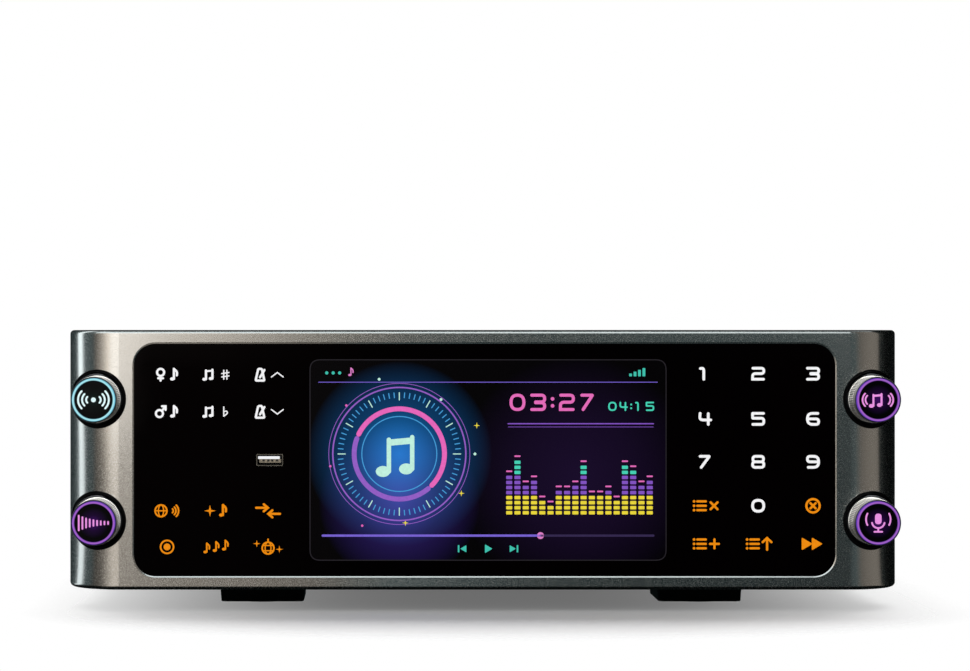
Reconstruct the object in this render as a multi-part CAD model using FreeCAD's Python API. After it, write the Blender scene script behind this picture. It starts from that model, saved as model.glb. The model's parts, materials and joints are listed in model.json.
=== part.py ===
import FreeCAD, Part
import math
import os

# A karaoke console: a satin metal fascia with rounded ends holds a black touch glass over a display,
# and four ring knobs turn around fixed, lit caps. A folded steel case behind it holds the electronics.
# Millimetres, Z up, the front faces -Y. While a piece is drawn, y = 0 is the fascia's front plane and
# y grows towards the back. Saving shifts it so that the origin is on the floor under the middle.

# Display
DISPLAY_X = 1.7
LCD_VIEW_W = 176.6
LCD_VIEW_H = 99.4
LCD_SIDE_BORDER = 8.1
LCD_END_BORDER = 8.75
LCD_T = 6.4
LCD_CORNER = 2.0
LCD_VIEW_SINK = 0.8
LCD_CLEARANCE = 0.6
GASKET_WIDTH = 4.0
GASKET_GAP = 1.0

# Touch glass
GLASS_BAND = 8.0
GLASS_T = 2.0
GLASS_CORNER = 10.8
GLASS_CLEARANCE = 0.2
GLASS_BEVEL = 0.25
GLASS_TO_WELL = 3.75
TAPE_T = 0.3
TOUCH_BOARD_GAP = 3.0

# Fascia
FASCIA_W = 417.0
FASCIA_BAND = 6.8
FASCIA_LIFT = 10.5
END_RADIUS = 27.0
SIDE_WALL = 3.0
EDGE_ROUND = 2.0
LEDGE_WIDTH = 3.0
LEDGE_T = 1.7
OPENING_BEVEL = 0.5

# Knobs
KNOB_SPACING = 60.4
KNOB_REACH = 14.5
KNOB_GAP = 0.3
RUNNING_GAP = 0.08
LIGHT_RING_RADIUS = 10.6
LIGHT_RING_WIDTH = 1.15
LIGHT_RING_T = 2.1
LIGHT_RING_EASE = 0.3
CAP_T = 1.7
CAP_CLEARANCE = 0.05
RIM_WALL = 0.4
RIM_SET = 0.4
RIM_BEVEL = 0.5
KNURL_PROUD = 0.25
KNURL_DEPTH = 0.35
KNURL_TEETH = 80
KNURL_LENGTH = 11.0
FLANGE_LIP = 1.0
FLANGE_BEVEL = 0.5
FLANGE_T = 2.6
FLANGE_SINK = 2.0
CORE_RADIUS = 6.8
CORE_BORE = 5.2
CORE_HEAD_T = 1.9
SLEEVE_WALL = 1.5
SLEEVE_BITE = 6.5

# Knob wells and encoders
COLLAR_GAP = 0.65
COLLAR_WALL = 1.4
COLLAR_FLOOR = 1.2
COLLAR_SET = 0.5
COLLAR_CLEARANCE = 0.1
WELL_MARGIN = 1.35
WELL_SKIRT = 1.4
WELL_WALL = 2.0
WELL_FLOOR = 2.5
ENCODER_GAP = 1.4
ENCODER_T = 8.5
ENCODER_BOARD_OVERHANG = 5.0

# Bracket behind the display
BRACKET_T = 1.2
BRACKET_WINDOW_W = 150.0
BRACKET_WINDOW_H = 60.0
BRACKET_WINDOW_CORNER = 3.0
BRACKET_MARGIN = 4.0
EAR_H = 10.0
EAR_GAP = 0.5
BOSS_RADIUS = 3.5
BOSS_OFFSET = 4.5

# Front port
PORT_OFFSET = 13.0
PORT_W = 13.2
PORT_H = 5.8
PORT_SHELL_T = 0.4
PORT_CLEARANCE = 0.4
PORT_SET = 0.2
PORT_TONGUE_SIDE = 0.65
PORT_TONGUE_TOP = 0.6
PORT_TONGUE_T = 1.84
PORT_TONGUE_SET = 1.2
PORT_BACK_T = 1.0
PORT_SPACER = 2.0
PORT_BOARD_W = 34.0
PORT_BOARD_H = 16.0

# Case
BODY_DEPTH = 330.0
COVER_T = 1.0
COVER_CLEARANCE = 0.4
COVER_TUCK = 4.0
COVER_BEND = 3.0
TRAY_T = 1.2
TRAY_INSET = 0.2
TRAY_FLANGE = 15.0
TRAY_SCREW_RISE = 9.0
REAR_FLANGE = 12.0
REAR_SCREW_DROP = 24.0
BEHIND_BOARD = 2.4
TOP_VENT_COUNT = 9
TOP_VENT_LENGTH = 60.0
SIDE_VENT_COUNT = 10
SIDE_VENT_LENGTH = 34.0
VENT_WIDTH = 3.6
VENT_PITCH = 9.0
COVER_SCREW_SHARES = (0.1, 0.5, 0.85)
FASCIA_SCREW_SHARES = (-0.8, -0.3, 0.3, 0.8)
TRAY_SCREW_SHARES = (-0.9, -0.35, 0.2, 0.95)

# Feet
FOOT_RADIUS = 22.0
FOOT_TAPER = 0.8
FOOT_X = 112.0
FOOT_FRONT_GAP = 0.5
FOOT_REAR_MARGIN = 60.0
FOOT_ROUND = 1.0
PAD_MARGIN = 5.0
PAD_T = 2.0
PAD_PROUD = 0.6
PAD_CLEARANCE = 0.2

# Boards and what they carry
BOARD_T = 1.6
BOARD_MARGIN = 14.2
BOARD_GAP = 48.0
STANDOFF_H = 8.0
STANDOFF_RADIUS = 3.0
STANDOFF_INSET = 6.0
MAIN_STANDOFF_BACK = 24.0
MAIN_BOARD_D = 156.0
BOARD_TO_REAR = 2.8
SUPPLY_BOARD_W = 120.0
SUPPLY_BOARD_D = 90.0
SUPPLY_TO_REAR = 25.0
TRANSFORMER_SIZE = 32.0
TRANSFORMER_H = 26.0
TRANSFORMER_CORNER = 2.0
CAN_RADIUS = 11.0
CAN_H = 30.0
CAN_ROUND = 1.0
CAN_GAP = 3.0
CHIP_W = 24.0
CHIP_T = 2.0
CHIP_SETBACK = 62.0
MEMORY_W = 12.0
MEMORY_T = 1.0
MEMORY_COUNT = 4
MEMORY_PITCH = 19.0
FILTER_RADIUS = 5.5
FILTER_H = 12.0
FILTER_COUNT = 5
FILTER_PITCH = 14.0
HEATSINK_W = 44.0
HEATSINK_BASE = 3.0
HEATSINK_H = 18.0
HEATSINK_GAP = 22.0
FIN_COUNT = 9
FIN_T = 1.4
DRIVE_W = 100.0
DRIVE_D = 70.0
DRIVE_H = 7.0
DRIVE_ROUND = 2.0
DRIVE_TO_FASCIA = 30.0

# Ribbon from the display to the main board
RIBBON_W = 20.0
RIBBON_T = 0.5
RIBBON_BEND = 10.0
RIBBON_RUN = 26.0
SOCKET_W = 24.0
SOCKET_D = 6.0
SOCKET_H = 5.0
SOCKET_SET = 1.0
SOCKET_SHARE = 0.72

# Rear connectors, spread evenly along the main board
CONNECTOR_EDGE = 14.0
PANEL_HOLE_GAP = 0.5
SHELL_T = 0.6
JACK_BORE = 3.25
JACK_BUSH_RADIUS = 5.6
JACK_BUSH_REACH = 5.0
JACK_BODY_W = 18.0
JACK_BODY_D = 30.0
JACK_BODY_H = 20.0
JACK_BACK_T = 2.0
JACK_NUT_RADIUS = 8.2
JACK_NUT_T = 2.5
JACK_NUT_BEVEL = 0.6
PHONO_RADIUS = 4.15
PHONO_WALL = 0.75
PHONO_REACH = 9.0
PHONO_SEAT = 0.6
PHONO_PITCH = 16.0
PHONO_DEPTH = 12.0
PHONO_PIN_HOLE = 1.6
PHONO_CORE_SET = 1.8
VIDEO_W = 15.2
VIDEO_H = 6.0
VIDEO_DEPTH = 12.0
VIDEO_TONGUE_SIDE = 1.8
VIDEO_TONGUE_T = 1.2
NETWORK_CAVITY_W = 11.9
NETWORK_CAVITY_H = 8.4
NETWORK_CAVITY_D = 13.0
NETWORK_WALL = 2.0
NETWORK_BACK_T = 4.2
NETWORK_NOTCH_W = 6.0
NETWORK_NOTCH_H = 1.4
NETWORK_NOTCH_D = 8.0

# Mains inlet and switch
INLET_TO_SIDE = 38.4
INLET_DROP = 27.0
INLET_CAVITY_W = 24.4
INLET_CAVITY_H = 16.4
INLET_CAVITY_D = 16.5
INLET_CORNER = 4.0
INLET_WALL = 1.5
INLET_FLOOR = 6.0
INLET_LIP = 1.8
INLET_FLANGE_T = 2.6
INLET_FLANGE_CORNER = 2.0
MAINS_PIN_W = 2.0
MAINS_PIN_H = 4.0
MAINS_PIN_LENGTH = 13.5
MAINS_PIN_SPREAD = 7.0
MAINS_PIN_STEP = 2.0
MAINS_PIN_BEVEL = 0.4
SWITCH_TO_INLET = 43.0
SWITCH_WELL_W = 9.6
SWITCH_WELL_H = 16.0
SWITCH_WELL_D = 9.0
SWITCH_WALL = 1.6
SWITCH_FLOOR = 7.0
SWITCH_LIP = 1.1
SWITCH_FLANGE_T = 2.0
SWITCH_FLANGE_CORNER = 1.0
ROCKER_TILT = 11.0
ROCKER_TIP = 3.4
ROCKER_WAIST = 1.6
ROCKER_BACK = 2.6
ROCKER_GAP = 0.3
ROCKER_PIN_RADIUS = 1.2
ROCKER_PIN_BITE = 1.2

# Fan and its grille
FAN_TO_SWITCH = 62.0
FAN_RISE = 7.0
FAN_SIZE = 60.0
FAN_T = 15.0
FAN_RIM = 1.6
FAN_CORNER = 4.0
FAN_HOLE_INSET = 5.0
FAN_TIP_GAP = 1.0
FAN_HUB_RADIUS = 13.0
FAN_HUB_T = 9.0
FAN_HUB_ROUND = 1.0
FAN_BLADES = 7
FAN_BLADE_T = 1.2
FAN_BLADE_CHORD = 10.5
FAN_BLADE_PITCH = 38.0
FAN_SHAFT_RADIUS = 1.5
FAN_STATOR_T = 3.0
FAN_STRUT_W = 3.0
GRILLE_RINGS = 4
GRILLE_WEB = 2.4
GRILLE_CENTRE = 4.0
GRILLE_INSET = 1.2

# Screws
SCREW_SHANK = 1.45
SCREW_HOLE_GAP = 0.05
SCREW_PASS_GAP = 0.25
SCREW_HEAD_RADIUS = 2.8
SCREW_HEAD_T = 1.8
SCREW_BITE = 5.0
FOOT_SCREW_RISE = 6.8

# Front sizes and places that follow from the values above
FRONT_Y = -(BODY_DEPTH + PHONO_REACH - KNOB_REACH) / 2
LCD_W = LCD_VIEW_W + 2 * LCD_SIDE_BORDER
LCD_H = LCD_VIEW_H + 2 * LCD_END_BORDER
GLASS_H = LCD_VIEW_H + 2 * GLASS_BAND
FASCIA_H = GLASS_H + 2 * FASCIA_BAND
FASCIA_HALF = FASCIA_W / 2
FASCIA_TOP = FASCIA_LIFT + FASCIA_H
MID_Z = FASCIA_LIFT + FASCIA_H / 2
CAP_RADIUS = LIGHT_RING_RADIUS - LIGHT_RING_WIDTH
RIM_RADIUS = LIGHT_RING_RADIUS + KNOB_GAP + RIM_WALL
KNURL_TIP_RADIUS = RIM_RADIUS + KNURL_PROUD
FLANGE_RADIUS = KNURL_TIP_RADIUS + FLANGE_LIP
WELL_RADIUS = FLANGE_RADIUS + COLLAR_GAP + COLLAR_WALL + COLLAR_CLEARANCE
KNOB_X = FASCIA_HALF - WELL_MARGIN - WELL_RADIUS
GLASS_HALF = KNOB_X - WELL_RADIUS - GLASS_TO_WELL
GLASS_POCKET = GLASS_T + TAPE_T
FRONT_WALL = GLASS_POCKET + LEDGE_T
RIM_DEPTH = END_RADIUS - math.sqrt(END_RADIUS**2 - (END_RADIUS - WELL_MARGIN) ** 2)
WELL_DEPTH = RIM_DEPTH + WELL_SKIRT
ENCODER_W = 2 * (WELL_RADIUS + WELL_MARGIN - SIDE_WALL - ENCODER_GAP)
ENCODER_FRONT = WELL_DEPTH + WELL_FLOOR
ENCODER_BACK = ENCODER_FRONT + ENCODER_T
ENCODER_BOARD_BACK = ENCODER_BACK + BOARD_T
FASCIA_DEPTH = ENCODER_BOARD_BACK + BEHIND_BOARD + COVER_TUCK
LIGHT_RING_BACK = LIGHT_RING_T - KNOB_REACH
CORE_HEAD_BACK = LIGHT_RING_BACK + CORE_HEAD_T
SLEEVE_BORE = CORE_RADIUS + RUNNING_GAP
SLEEVE_RADIUS = SLEEVE_BORE + SLEEVE_WALL
SLEEVE_HOLE = SLEEVE_RADIUS + KNOB_GAP
LCD_FRONT = FRONT_WALL + LCD_CLEARANCE
LCD_BACK = LCD_FRONT + LCD_T
BRACKET_BACK = LCD_BACK + BRACKET_T
BOSS_X = GLASS_HALF + BOSS_OFFSET
BOSS_ROW = FASCIA_H / 2 - SIDE_WALL - EAR_GAP - EAR_H / 2
TOUCH_BOARD_INNER = LCD_VIEW_W / 2 + GASKET_WIDTH + TOUCH_BOARD_GAP
TOUCH_BOARD_OUTER = GLASS_HALF - LEDGE_WIDTH - TOUCH_BOARD_GAP
PORT_X = DISPLAY_X - TOUCH_BOARD_INNER - PORT_OFFSET
PORT_BOARD_FRONT = BRACKET_BACK + PORT_SPACER

# Case sizes and places
BODY_BOTTOM = FASCIA_LIFT + SIDE_WALL
COVER_HALF = FASCIA_HALF - SIDE_WALL - COVER_CLEARANCE
COVER_TOP = FASCIA_TOP - SIDE_WALL - COVER_CLEARANCE
COVER_FRONT = FASCIA_DEPTH - COVER_TUCK
TRAY_HALF = COVER_HALF - COVER_T - TRAY_INSET
TRAY_FRONT = END_RADIUS
TRAY_TOP = BODY_BOTTOM + TRAY_T
REAR_INSIDE = BODY_DEPTH - TRAY_T
REAR_TOP = COVER_TOP - COVER_T - TRAY_INSET
PAD_RADIUS = FOOT_RADIUS - PAD_MARGIN
FOOT_FRONT_Y = FASCIA_DEPTH + FOOT_FRONT_GAP + FOOT_RADIUS
FOOT_REAR_Y = BODY_DEPTH - FOOT_REAR_MARGIN
PILOT = SCREW_SHANK + SCREW_HOLE_GAP
PASSAGE = SCREW_SHANK + SCREW_PASS_GAP

# Places inside the case
BOARD_BOTTOM = TRAY_TOP + STANDOFF_H
BOARD_TOP = BOARD_BOTTOM + BOARD_T
BOARD_SIDE = TRAY_HALF - TRAY_T - BOARD_MARGIN
MAIN_BOARD_W = 2 * BOARD_SIDE - SUPPLY_BOARD_W - BOARD_GAP
MAIN_BOARD_X = MAIN_BOARD_W / 2 - BOARD_SIDE
MAIN_BOARD_BACK = REAR_INSIDE - BOARD_TO_REAR
MAIN_BOARD_FRONT = MAIN_BOARD_BACK - MAIN_BOARD_D
CHIP_Y = MAIN_BOARD_FRONT + CHIP_SETBACK
RIBBON_X = SOCKET_SHARE * MAIN_BOARD_W - BOARD_SIDE
SUPPLY_BOARD_X = BOARD_SIDE - SUPPLY_BOARD_W / 2
SUPPLY_BACK = REAR_INSIDE - SUPPLY_TO_REAR
SUPPLY_Y = SUPPLY_BACK - SUPPLY_BOARD_D / 2
DRIVE_X = BOARD_SIDE - DRIVE_W / 2
DRIVE_Y = FASCIA_DEPTH + DRIVE_TO_FASCIA + DRIVE_D / 2
PHONO_LOW_Z = BOARD_TOP + PHONO_PITCH / 2
JACK_Z = BOARD_TOP + JACK_BODY_H / 2
VIDEO_Z = BOARD_TOP + VIDEO_H / 2
NETWORK_W = NETWORK_CAVITY_W + 2 * NETWORK_WALL
NETWORK_H = NETWORK_CAVITY_H + NETWORK_NOTCH_H + 2 * NETWORK_WALL
NETWORK_Z = BOARD_TOP + NETWORK_H / 2
INLET_X = TRAY_HALF - INLET_TO_SIDE
INLET_Z = MID_Z - INLET_DROP
INLET_BODY_W = INLET_CAVITY_W + 2 * INLET_WALL
INLET_BODY_H = INLET_CAVITY_H + 2 * INLET_WALL
SWITCH_X = INLET_X - SWITCH_TO_INLET
SWITCH_BODY_W = SWITCH_WELL_W + 2 * SWITCH_WALL
SWITCH_BODY_H = SWITCH_WELL_H + 2 * SWITCH_WALL
FAN_X = SWITCH_X - FAN_TO_SWITCH
FAN_Z = MID_Z + FAN_RISE
FAN_BORE = FAN_SIZE / 2 - FAN_RIM
FAN_HOLE_HALF = FAN_SIZE / 2 - FAN_HOLE_INSET
GRILLE_REACH = FAN_BORE - GRILLE_INSET - GRILLE_CENTRE
GRILLE_SLOT = (GRILLE_REACH - (GRILLE_RINGS - 1) * GRILLE_WEB) / GRILLE_RINGS
KNOBS = {
    "echo": (-KNOB_X, MID_Z + KNOB_SPACING / 2),
    "reverb": (-KNOB_X, MID_Z - KNOB_SPACING / 2),
    "music": (KNOB_X, MID_Z + KNOB_SPACING / 2),
    "mic": (KNOB_X, MID_Z - KNOB_SPACING / 2),
}
FEET = {
    "front_left": (-FOOT_X, FOOT_FRONT_Y),
    "front_right": (FOOT_X, FOOT_FRONT_Y),
    "rear_left": (-FOOT_X, FOOT_REAR_Y),
    "rear_right": (FOOT_X, FOOT_REAR_Y),
}

V = FreeCAD.Vector
X_AXIS = V(1, 0, 0)
Y_AXIS = V(0, 1, 0)
Z_AXIS = V(0, 0, 1)
PAST = 1.0


# Plain shapes

def block(x0, x1, y0, y1, z0, z1):
    """Box between two corners."""
    return Part.makeBox(x1 - x0, y1 - y0, z1 - z0, V(x0, y0, z0))


def rod(x, z, radius, y0, y1):
    """Round bar along the depth."""
    return Part.makeCylinder(radius, y1 - y0, V(x, y0, z), Y_AXIS)


def post(x, y, radius, z0, z1):
    """Upright round bar."""
    return Part.makeCylinder(radius, z1 - z0, V(x, y, z0), Z_AXIS)


def peg(y, z, radius, x0, x1):
    """Round bar across the width."""
    return Part.makeCylinder(radius, x1 - x0, V(x0, y, z), X_AXIS)


def edges_along(shape, axis):
    """Straight edges parallel to an axis."""
    lines = [e for e in shape.Edges if isinstance(e.Curve, Part.Line)]
    return [e for e in lines if abs(e.tangentAt(e.FirstParameter).dot(axis)) > 0.999]


def edges_in_plane(shape, axis, value):
    """Edges that lie in the plane where one coordinate has a value."""
    near = 0.01
    return [
        e for e in shape.Edges
        if abs(getattr(e.BoundBox, axis + "Min") - value) < near
        and abs(getattr(e.BoundBox, axis + "Max") - value) < near
    ]


def upright_plate(x, z, width, height, corner, y0, y1):
    """Plate that faces the front, with rounded corners."""
    plate = block(x - width / 2, x + width / 2, y0, y1, z - height / 2, z + height / 2)
    return plate.makeFillet(corner, edges_along(plate, Y_AXIS))


def turned(x, z, outline):
    """Solid of revolution about a depth axis, from (radius, depth) pairs."""
    points = [V(radius, depth, 0) for radius, depth in outline]
    face = Part.Face(Part.makePolygon(points + points[:1]))
    solid = Part.makeSolid(Part.makeShell(face.revolve(V(0, 0, 0), Y_AXIS, 360).Faces))
    if solid.Volume < 0:
        solid.reverse()
    solid.translate(V(x, 0, z))
    return solid


def slot(length, width, depth):
    """Stadium prism along Y, centred on the origin, that rises along Z."""
    half, radius = length / 2 - width / 2, width / 2
    corners = [V(radius, -half, 0), V(radius, half, 0), V(-radius, half, 0), V(-radius, -half, 0)]
    edges = [
        Part.makeLine(corners[0], corners[1]),
        Part.Arc(corners[1], V(0, half + radius, 0), corners[2]).toShape(),
        Part.makeLine(corners[2], corners[3]),
        Part.Arc(corners[3], V(0, -half - radius, 0), corners[0]).toShape(),
    ]
    return Part.Face(Part.Wire(edges)).extrude(V(0, 0, depth))


def moved(shape, x, y, z):
    """The shape, shifted."""
    shape.translate(V(x, y, z))
    return shape


def rows(count, pitch):
    """Evenly spaced offsets about zero."""
    return [(i - (count - 1) / 2) * pitch for i in range(count)]


def save(name, shape):
    """Writes one node, shifted so that the origin is under the middle of the whole."""
    placed = shape.copy()
    placed.translate(V(0, FRONT_Y, 0))
    placed.exportStep("parts/" + name + ".step")


def save_group(name, solids):
    """Writes several separate solids as one node."""
    save(name, Part.makeCompound(solids))


# Screws, each with its head's underside at a point

def screw_back(x, y, z, bite):
    """Screw driven towards the front."""
    return rod(x, z, SCREW_SHANK, y - bite, y).fuse(rod(x, z, SCREW_HEAD_RADIUS, y, y + SCREW_HEAD_T))


def screw_down(x, y, z, bite):
    """Screw driven downwards."""
    return post(x, y, SCREW_SHANK, z - bite, z).fuse(post(x, y, SCREW_HEAD_RADIUS, z, z + SCREW_HEAD_T))


def screw_up(x, y, z, bite):
    """Screw driven upwards."""
    return post(x, y, SCREW_SHANK, z, z + bite).fuse(post(x, y, SCREW_HEAD_RADIUS, z - SCREW_HEAD_T, z))


def screw_side(side, x, y, z, bite):
    """Screw driven inwards from the left (side -1) or the right (side 1)."""
    head = peg(y, z, SCREW_HEAD_RADIUS, min(x, x + side * SCREW_HEAD_T), max(x, x + side * SCREW_HEAD_T))
    return head.fuse(peg(y, z, SCREW_SHANK, min(x, x - side * bite), max(x, x - side * bite)))


# Fascia and glass

def fascia_block(side_inset, front_inset, z0, z1, back):
    """Block with the fascia's plan: flat front, quarter-round ends, flat back."""
    half = FASCIA_HALF - side_inset
    radius = END_RADIUS - front_inset
    mid = radius * (1 - math.sqrt(0.5))
    bend = front_inset + radius
    edges = [
        Part.makeLine(V(-half, back, z0), V(-half, bend, z0)),
        Part.Arc(
            V(-half, bend, z0), V(-half + mid, front_inset + mid, z0), V(-half + radius, front_inset, z0)
        ).toShape(),
        Part.makeLine(V(-half + radius, front_inset, z0), V(half - radius, front_inset, z0)),
        Part.Arc(
            V(half - radius, front_inset, z0), V(half - mid, front_inset + mid, z0), V(half, bend, z0)
        ).toShape(),
        Part.makeLine(V(half, bend, z0), V(half, back, z0)),
        Part.makeLine(V(half, back, z0), V(-half, back, z0)),
    ]
    return Part.Face(Part.Wire(edges)).extrude(V(0, 0, z1 - z0))


def fascia_outside():
    """The fascia's outer form, with its long edges rounded."""
    form = fascia_block(0, 0, FASCIA_LIFT, FASCIA_TOP, FASCIA_DEPTH)
    long_edges = edges_in_plane(form, "Z", FASCIA_LIFT) + edges_in_plane(form, "Z", FASCIA_TOP)
    front_edges = [e for e in long_edges if e.BoundBox.YMin < FASCIA_DEPTH - EDGE_ROUND]
    return form.makeFillet(EDGE_ROUND, front_edges)


def bracket_screw_places():
    """Where the display bracket is screwed to the fascia's bosses."""
    return [(side * BOSS_X, MID_Z + row * BOSS_ROW) for side in (-1, 1) for row in (-1, 0, 1)]


def fascia_screw_places():
    """Where screws from below join the fascia to the base tray."""
    y = (TRAY_FRONT + FASCIA_DEPTH) / 2
    return [(share * FASCIA_HALF, y) for share in FASCIA_SCREW_SHARES]


def fascia():
    """Cast fascia: a hollow front with a stepped glass opening, knob wells and screw bosses."""
    outside = fascia_outside()
    hollow = fascia_block(
        SIDE_WALL, FRONT_WALL, FASCIA_LIFT + SIDE_WALL, FASCIA_TOP - SIDE_WALL, FASCIA_DEPTH + PAST
    )
    cups = [rod(x, z, WELL_RADIUS + WELL_WALL, 0, ENCODER_FRONT) for x, z in KNOBS.values()]
    bosses = [rod(x, z, BOSS_RADIUS, FRONT_WALL / 2, LCD_BACK) for x, z in bracket_screw_places()]
    bosses += [rod(side * KNOB_X, MID_Z, BOSS_RADIUS, FRONT_WALL / 2, ENCODER_BACK) for side in (-1, 1)]
    inner = Part.makeCompound(cups + bosses).common(outside)
    body = outside.cut(hollow).fuse(inner.Solids)
    wells = [rod(x, z, WELL_RADIUS, -PAST, WELL_DEPTH) for x, z in KNOBS.values()]
    wells += [rod(x, z, SLEEVE_HOLE, 0, ENCODER_FRONT + PAST) for x, z in KNOBS.values()]
    pilots = [rod(x, z, PILOT, LCD_BACK - SCREW_BITE, LCD_BACK + PAST) for x, z in bracket_screw_places()]
    pilots += [
        rod(side * KNOB_X, MID_Z, PILOT, ENCODER_BACK - SCREW_BITE, ENCODER_BACK + PAST) for side in (-1, 1)
    ]
    pilots += [post(x, y, PASSAGE, FASCIA_LIFT - PAST, BODY_BOTTOM + PAST) for x, y in fascia_screw_places()]
    body = body.cut(wells + pilots)
    width, height = 2 * GLASS_HALF, GLASS_H
    pocket = upright_plate(
        0, MID_Z, width + 2 * GLASS_CLEARANCE, height + 2 * GLASS_CLEARANCE, GLASS_CORNER + GLASS_CLEARANCE,
        -PAST, GLASS_POCKET,
    )
    window = upright_plate(
        0, MID_Z, width - 2 * LEDGE_WIDTH, height - 2 * LEDGE_WIDTH, GLASS_CORNER - LEDGE_WIDTH,
        0, FRONT_WALL + PAST,
    )
    body = body.cut([pocket, window]).removeSplitter()
    mouth = [
        e for e in edges_in_plane(body, "Y", 0)
        if abs(e.CenterOfMass.x) < GLASS_HALF + GLASS_TO_WELL / 2
        and abs(e.CenterOfMass.z - MID_Z) < GLASS_H / 2 + GLASS_CLEARANCE + OPENING_BEVEL
    ]
    return body.makeChamfer(OPENING_BEVEL, mouth)


def front_glass():
    """Touch glass with rounded corners, bevelled rim and a cut-out for the port."""
    glass = upright_plate(0, MID_Z, 2 * GLASS_HALF, GLASS_H, GLASS_CORNER, 0, GLASS_T)
    glass = glass.makeChamfer(GLASS_BEVEL, edges_in_plane(glass, "Y", 0))
    cutout = upright_plate(
        PORT_X, MID_Z, PORT_W + 2 * PORT_CLEARANCE, PORT_H + 2 * PORT_CLEARANCE, PORT_CLEARANCE * 2,
        -PAST, GLASS_T + PAST,
    )
    return glass.cut(cutout)


def glass_tape():
    """Adhesive frame that bonds the glass to the fascia's ledge."""
    width, height = 2 * GLASS_HALF, GLASS_H
    outer = upright_plate(0, MID_Z, width, height, GLASS_CORNER, GLASS_T, GLASS_POCKET)
    inner = upright_plate(
        0, MID_Z, width - 2 * LEDGE_WIDTH, height - 2 * LEDGE_WIDTH, GLASS_CORNER - LEDGE_WIDTH,
        GLASS_T - PAST, GLASS_POCKET + PAST,
    )
    return outer.cut(inner)


# Knobs

def knurl(x, z, y0, y1):
    """Straight knurl: a star prism whose teeth run along the knob."""
    points = []
    for i in range(2 * KNURL_TEETH):
        radius = KNURL_TIP_RADIUS - KNURL_DEPTH * (i % 2)
        angle = math.pi * i / KNURL_TEETH
        points.append(V(x + radius * math.cos(angle), y0, z + radius * math.sin(angle)))
    return Part.Face(Part.makePolygon(points + points[:1])).extrude(V(0, y1 - y0, 0))


def knob_ring(x, z):
    """Knurled ring that turns on the core, with a flange at its foot and a sleeve into the encoder."""
    rim = RIM_SET - KNOB_REACH
    cup_radius = LIGHT_RING_RADIUS + KNOB_GAP
    cup_floor = CORE_HEAD_BACK + KNOB_GAP
    flange_back = FLANGE_SINK + FLANGE_T
    waist = KNURL_TIP_RADIUS - 2 * KNURL_DEPTH
    body = turned(x, z, [
        (SLEEVE_BORE, cup_floor),
        (cup_radius, cup_floor),
        (cup_radius, rim),
        (RIM_RADIUS - RIM_WALL / 2, rim),
        (RIM_RADIUS, rim + RIM_BEVEL),
        (RIM_RADIUS, FLANGE_SINK - KNURL_LENGTH),
        (waist, FLANGE_SINK - KNURL_LENGTH),
        (waist, FLANGE_SINK),
        (FLANGE_RADIUS - FLANGE_BEVEL, FLANGE_SINK),
        (FLANGE_RADIUS, FLANGE_SINK + FLANGE_BEVEL),
        (FLANGE_RADIUS, flange_back),
        (SLEEVE_RADIUS, flange_back),
        (SLEEVE_RADIUS, ENCODER_FRONT + SLEEVE_BITE),
        (SLEEVE_BORE, ENCODER_FRONT + SLEEVE_BITE),
    ])
    teeth = knurl(x, z, FLANGE_SINK - KNURL_LENGTH, FLANGE_SINK)
    hollow = rod(x, z, (waist + SLEEVE_BORE) / 2, -KNOB_REACH, FLANGE_SINK + PAST)
    return body.fuse(teeth.cut(hollow)).removeSplitter()


def knob_core(x, z):
    """Fixed tube from the encoder board to the light ring, so that the lit cap stays upright."""
    return turned(x, z, [
        (CORE_BORE, LIGHT_RING_BACK),
        (LIGHT_RING_RADIUS, LIGHT_RING_BACK),
        (LIGHT_RING_RADIUS, CORE_HEAD_BACK),
        (CORE_RADIUS, CORE_HEAD_BACK),
        (CORE_RADIUS, ENCODER_BACK),
        (CORE_BORE, ENCODER_BACK),
    ])


def light_ring(x, z):
    """Diffuser ring round the cap, with an eased front edge."""
    return turned(x, z, [
        (CAP_RADIUS, LIGHT_RING_BACK),
        (CAP_RADIUS, -KNOB_REACH),
        (LIGHT_RING_RADIUS - LIGHT_RING_EASE, -KNOB_REACH),
        (LIGHT_RING_RADIUS, -KNOB_REACH + LIGHT_RING_EASE),
        (LIGHT_RING_RADIUS, LIGHT_RING_BACK),
    ])


def knob_cap(x, z):
    """Smoked lens that carries the knob's lit sign."""
    return rod(x, z, CAP_RADIUS - CAP_CLEARANCE, LIGHT_RING_BACK - CAP_T, LIGHT_RING_BACK)


def knob_collar(x, z):
    """Black cup that lines the well, trimmed just under the fascia's rounded end."""
    outer = WELL_RADIUS - COLLAR_CLEARANCE
    cup = turned(x, z, [
        (SLEEVE_HOLE, WELL_DEPTH),
        (SLEEVE_HOLE, WELL_DEPTH - COLLAR_FLOOR),
        (outer - COLLAR_WALL, WELL_DEPTH - COLLAR_FLOOR),
        (outer - COLLAR_WALL, -PAST),
        (outer, -PAST),
        (outer, WELL_DEPTH),
    ])
    return cup.common(
        fascia_block(COLLAR_SET, COLLAR_SET, FASCIA_LIFT + PAST, FASCIA_TOP - PAST, FASCIA_DEPTH)
    )


def encoder(x, z):
    """Hollow-shaft encoder between the well's floor and its board."""
    half = ENCODER_W / 2
    body = block(x - half, x + half, ENCODER_FRONT, ENCODER_BACK, z - half, z + half)
    return body.cut(rod(x, z, SLEEVE_HOLE, ENCODER_FRONT - PAST, ENCODER_BACK + PAST))


def encoder_board(side):
    """Board behind one end's two encoders."""
    x = side * KNOB_X
    half_h = KNOB_SPACING / 2 + ENCODER_W / 2 + ENCODER_BOARD_OVERHANG
    half_w = ENCODER_W / 2
    board = block(x - half_w, x + half_w, ENCODER_BACK, ENCODER_BOARD_BACK, MID_Z - half_h, MID_Z + half_h)
    return board.cut(rod(x, MID_Z, PASSAGE, ENCODER_BACK - PAST, ENCODER_BOARD_BACK + PAST))


# Display

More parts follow.
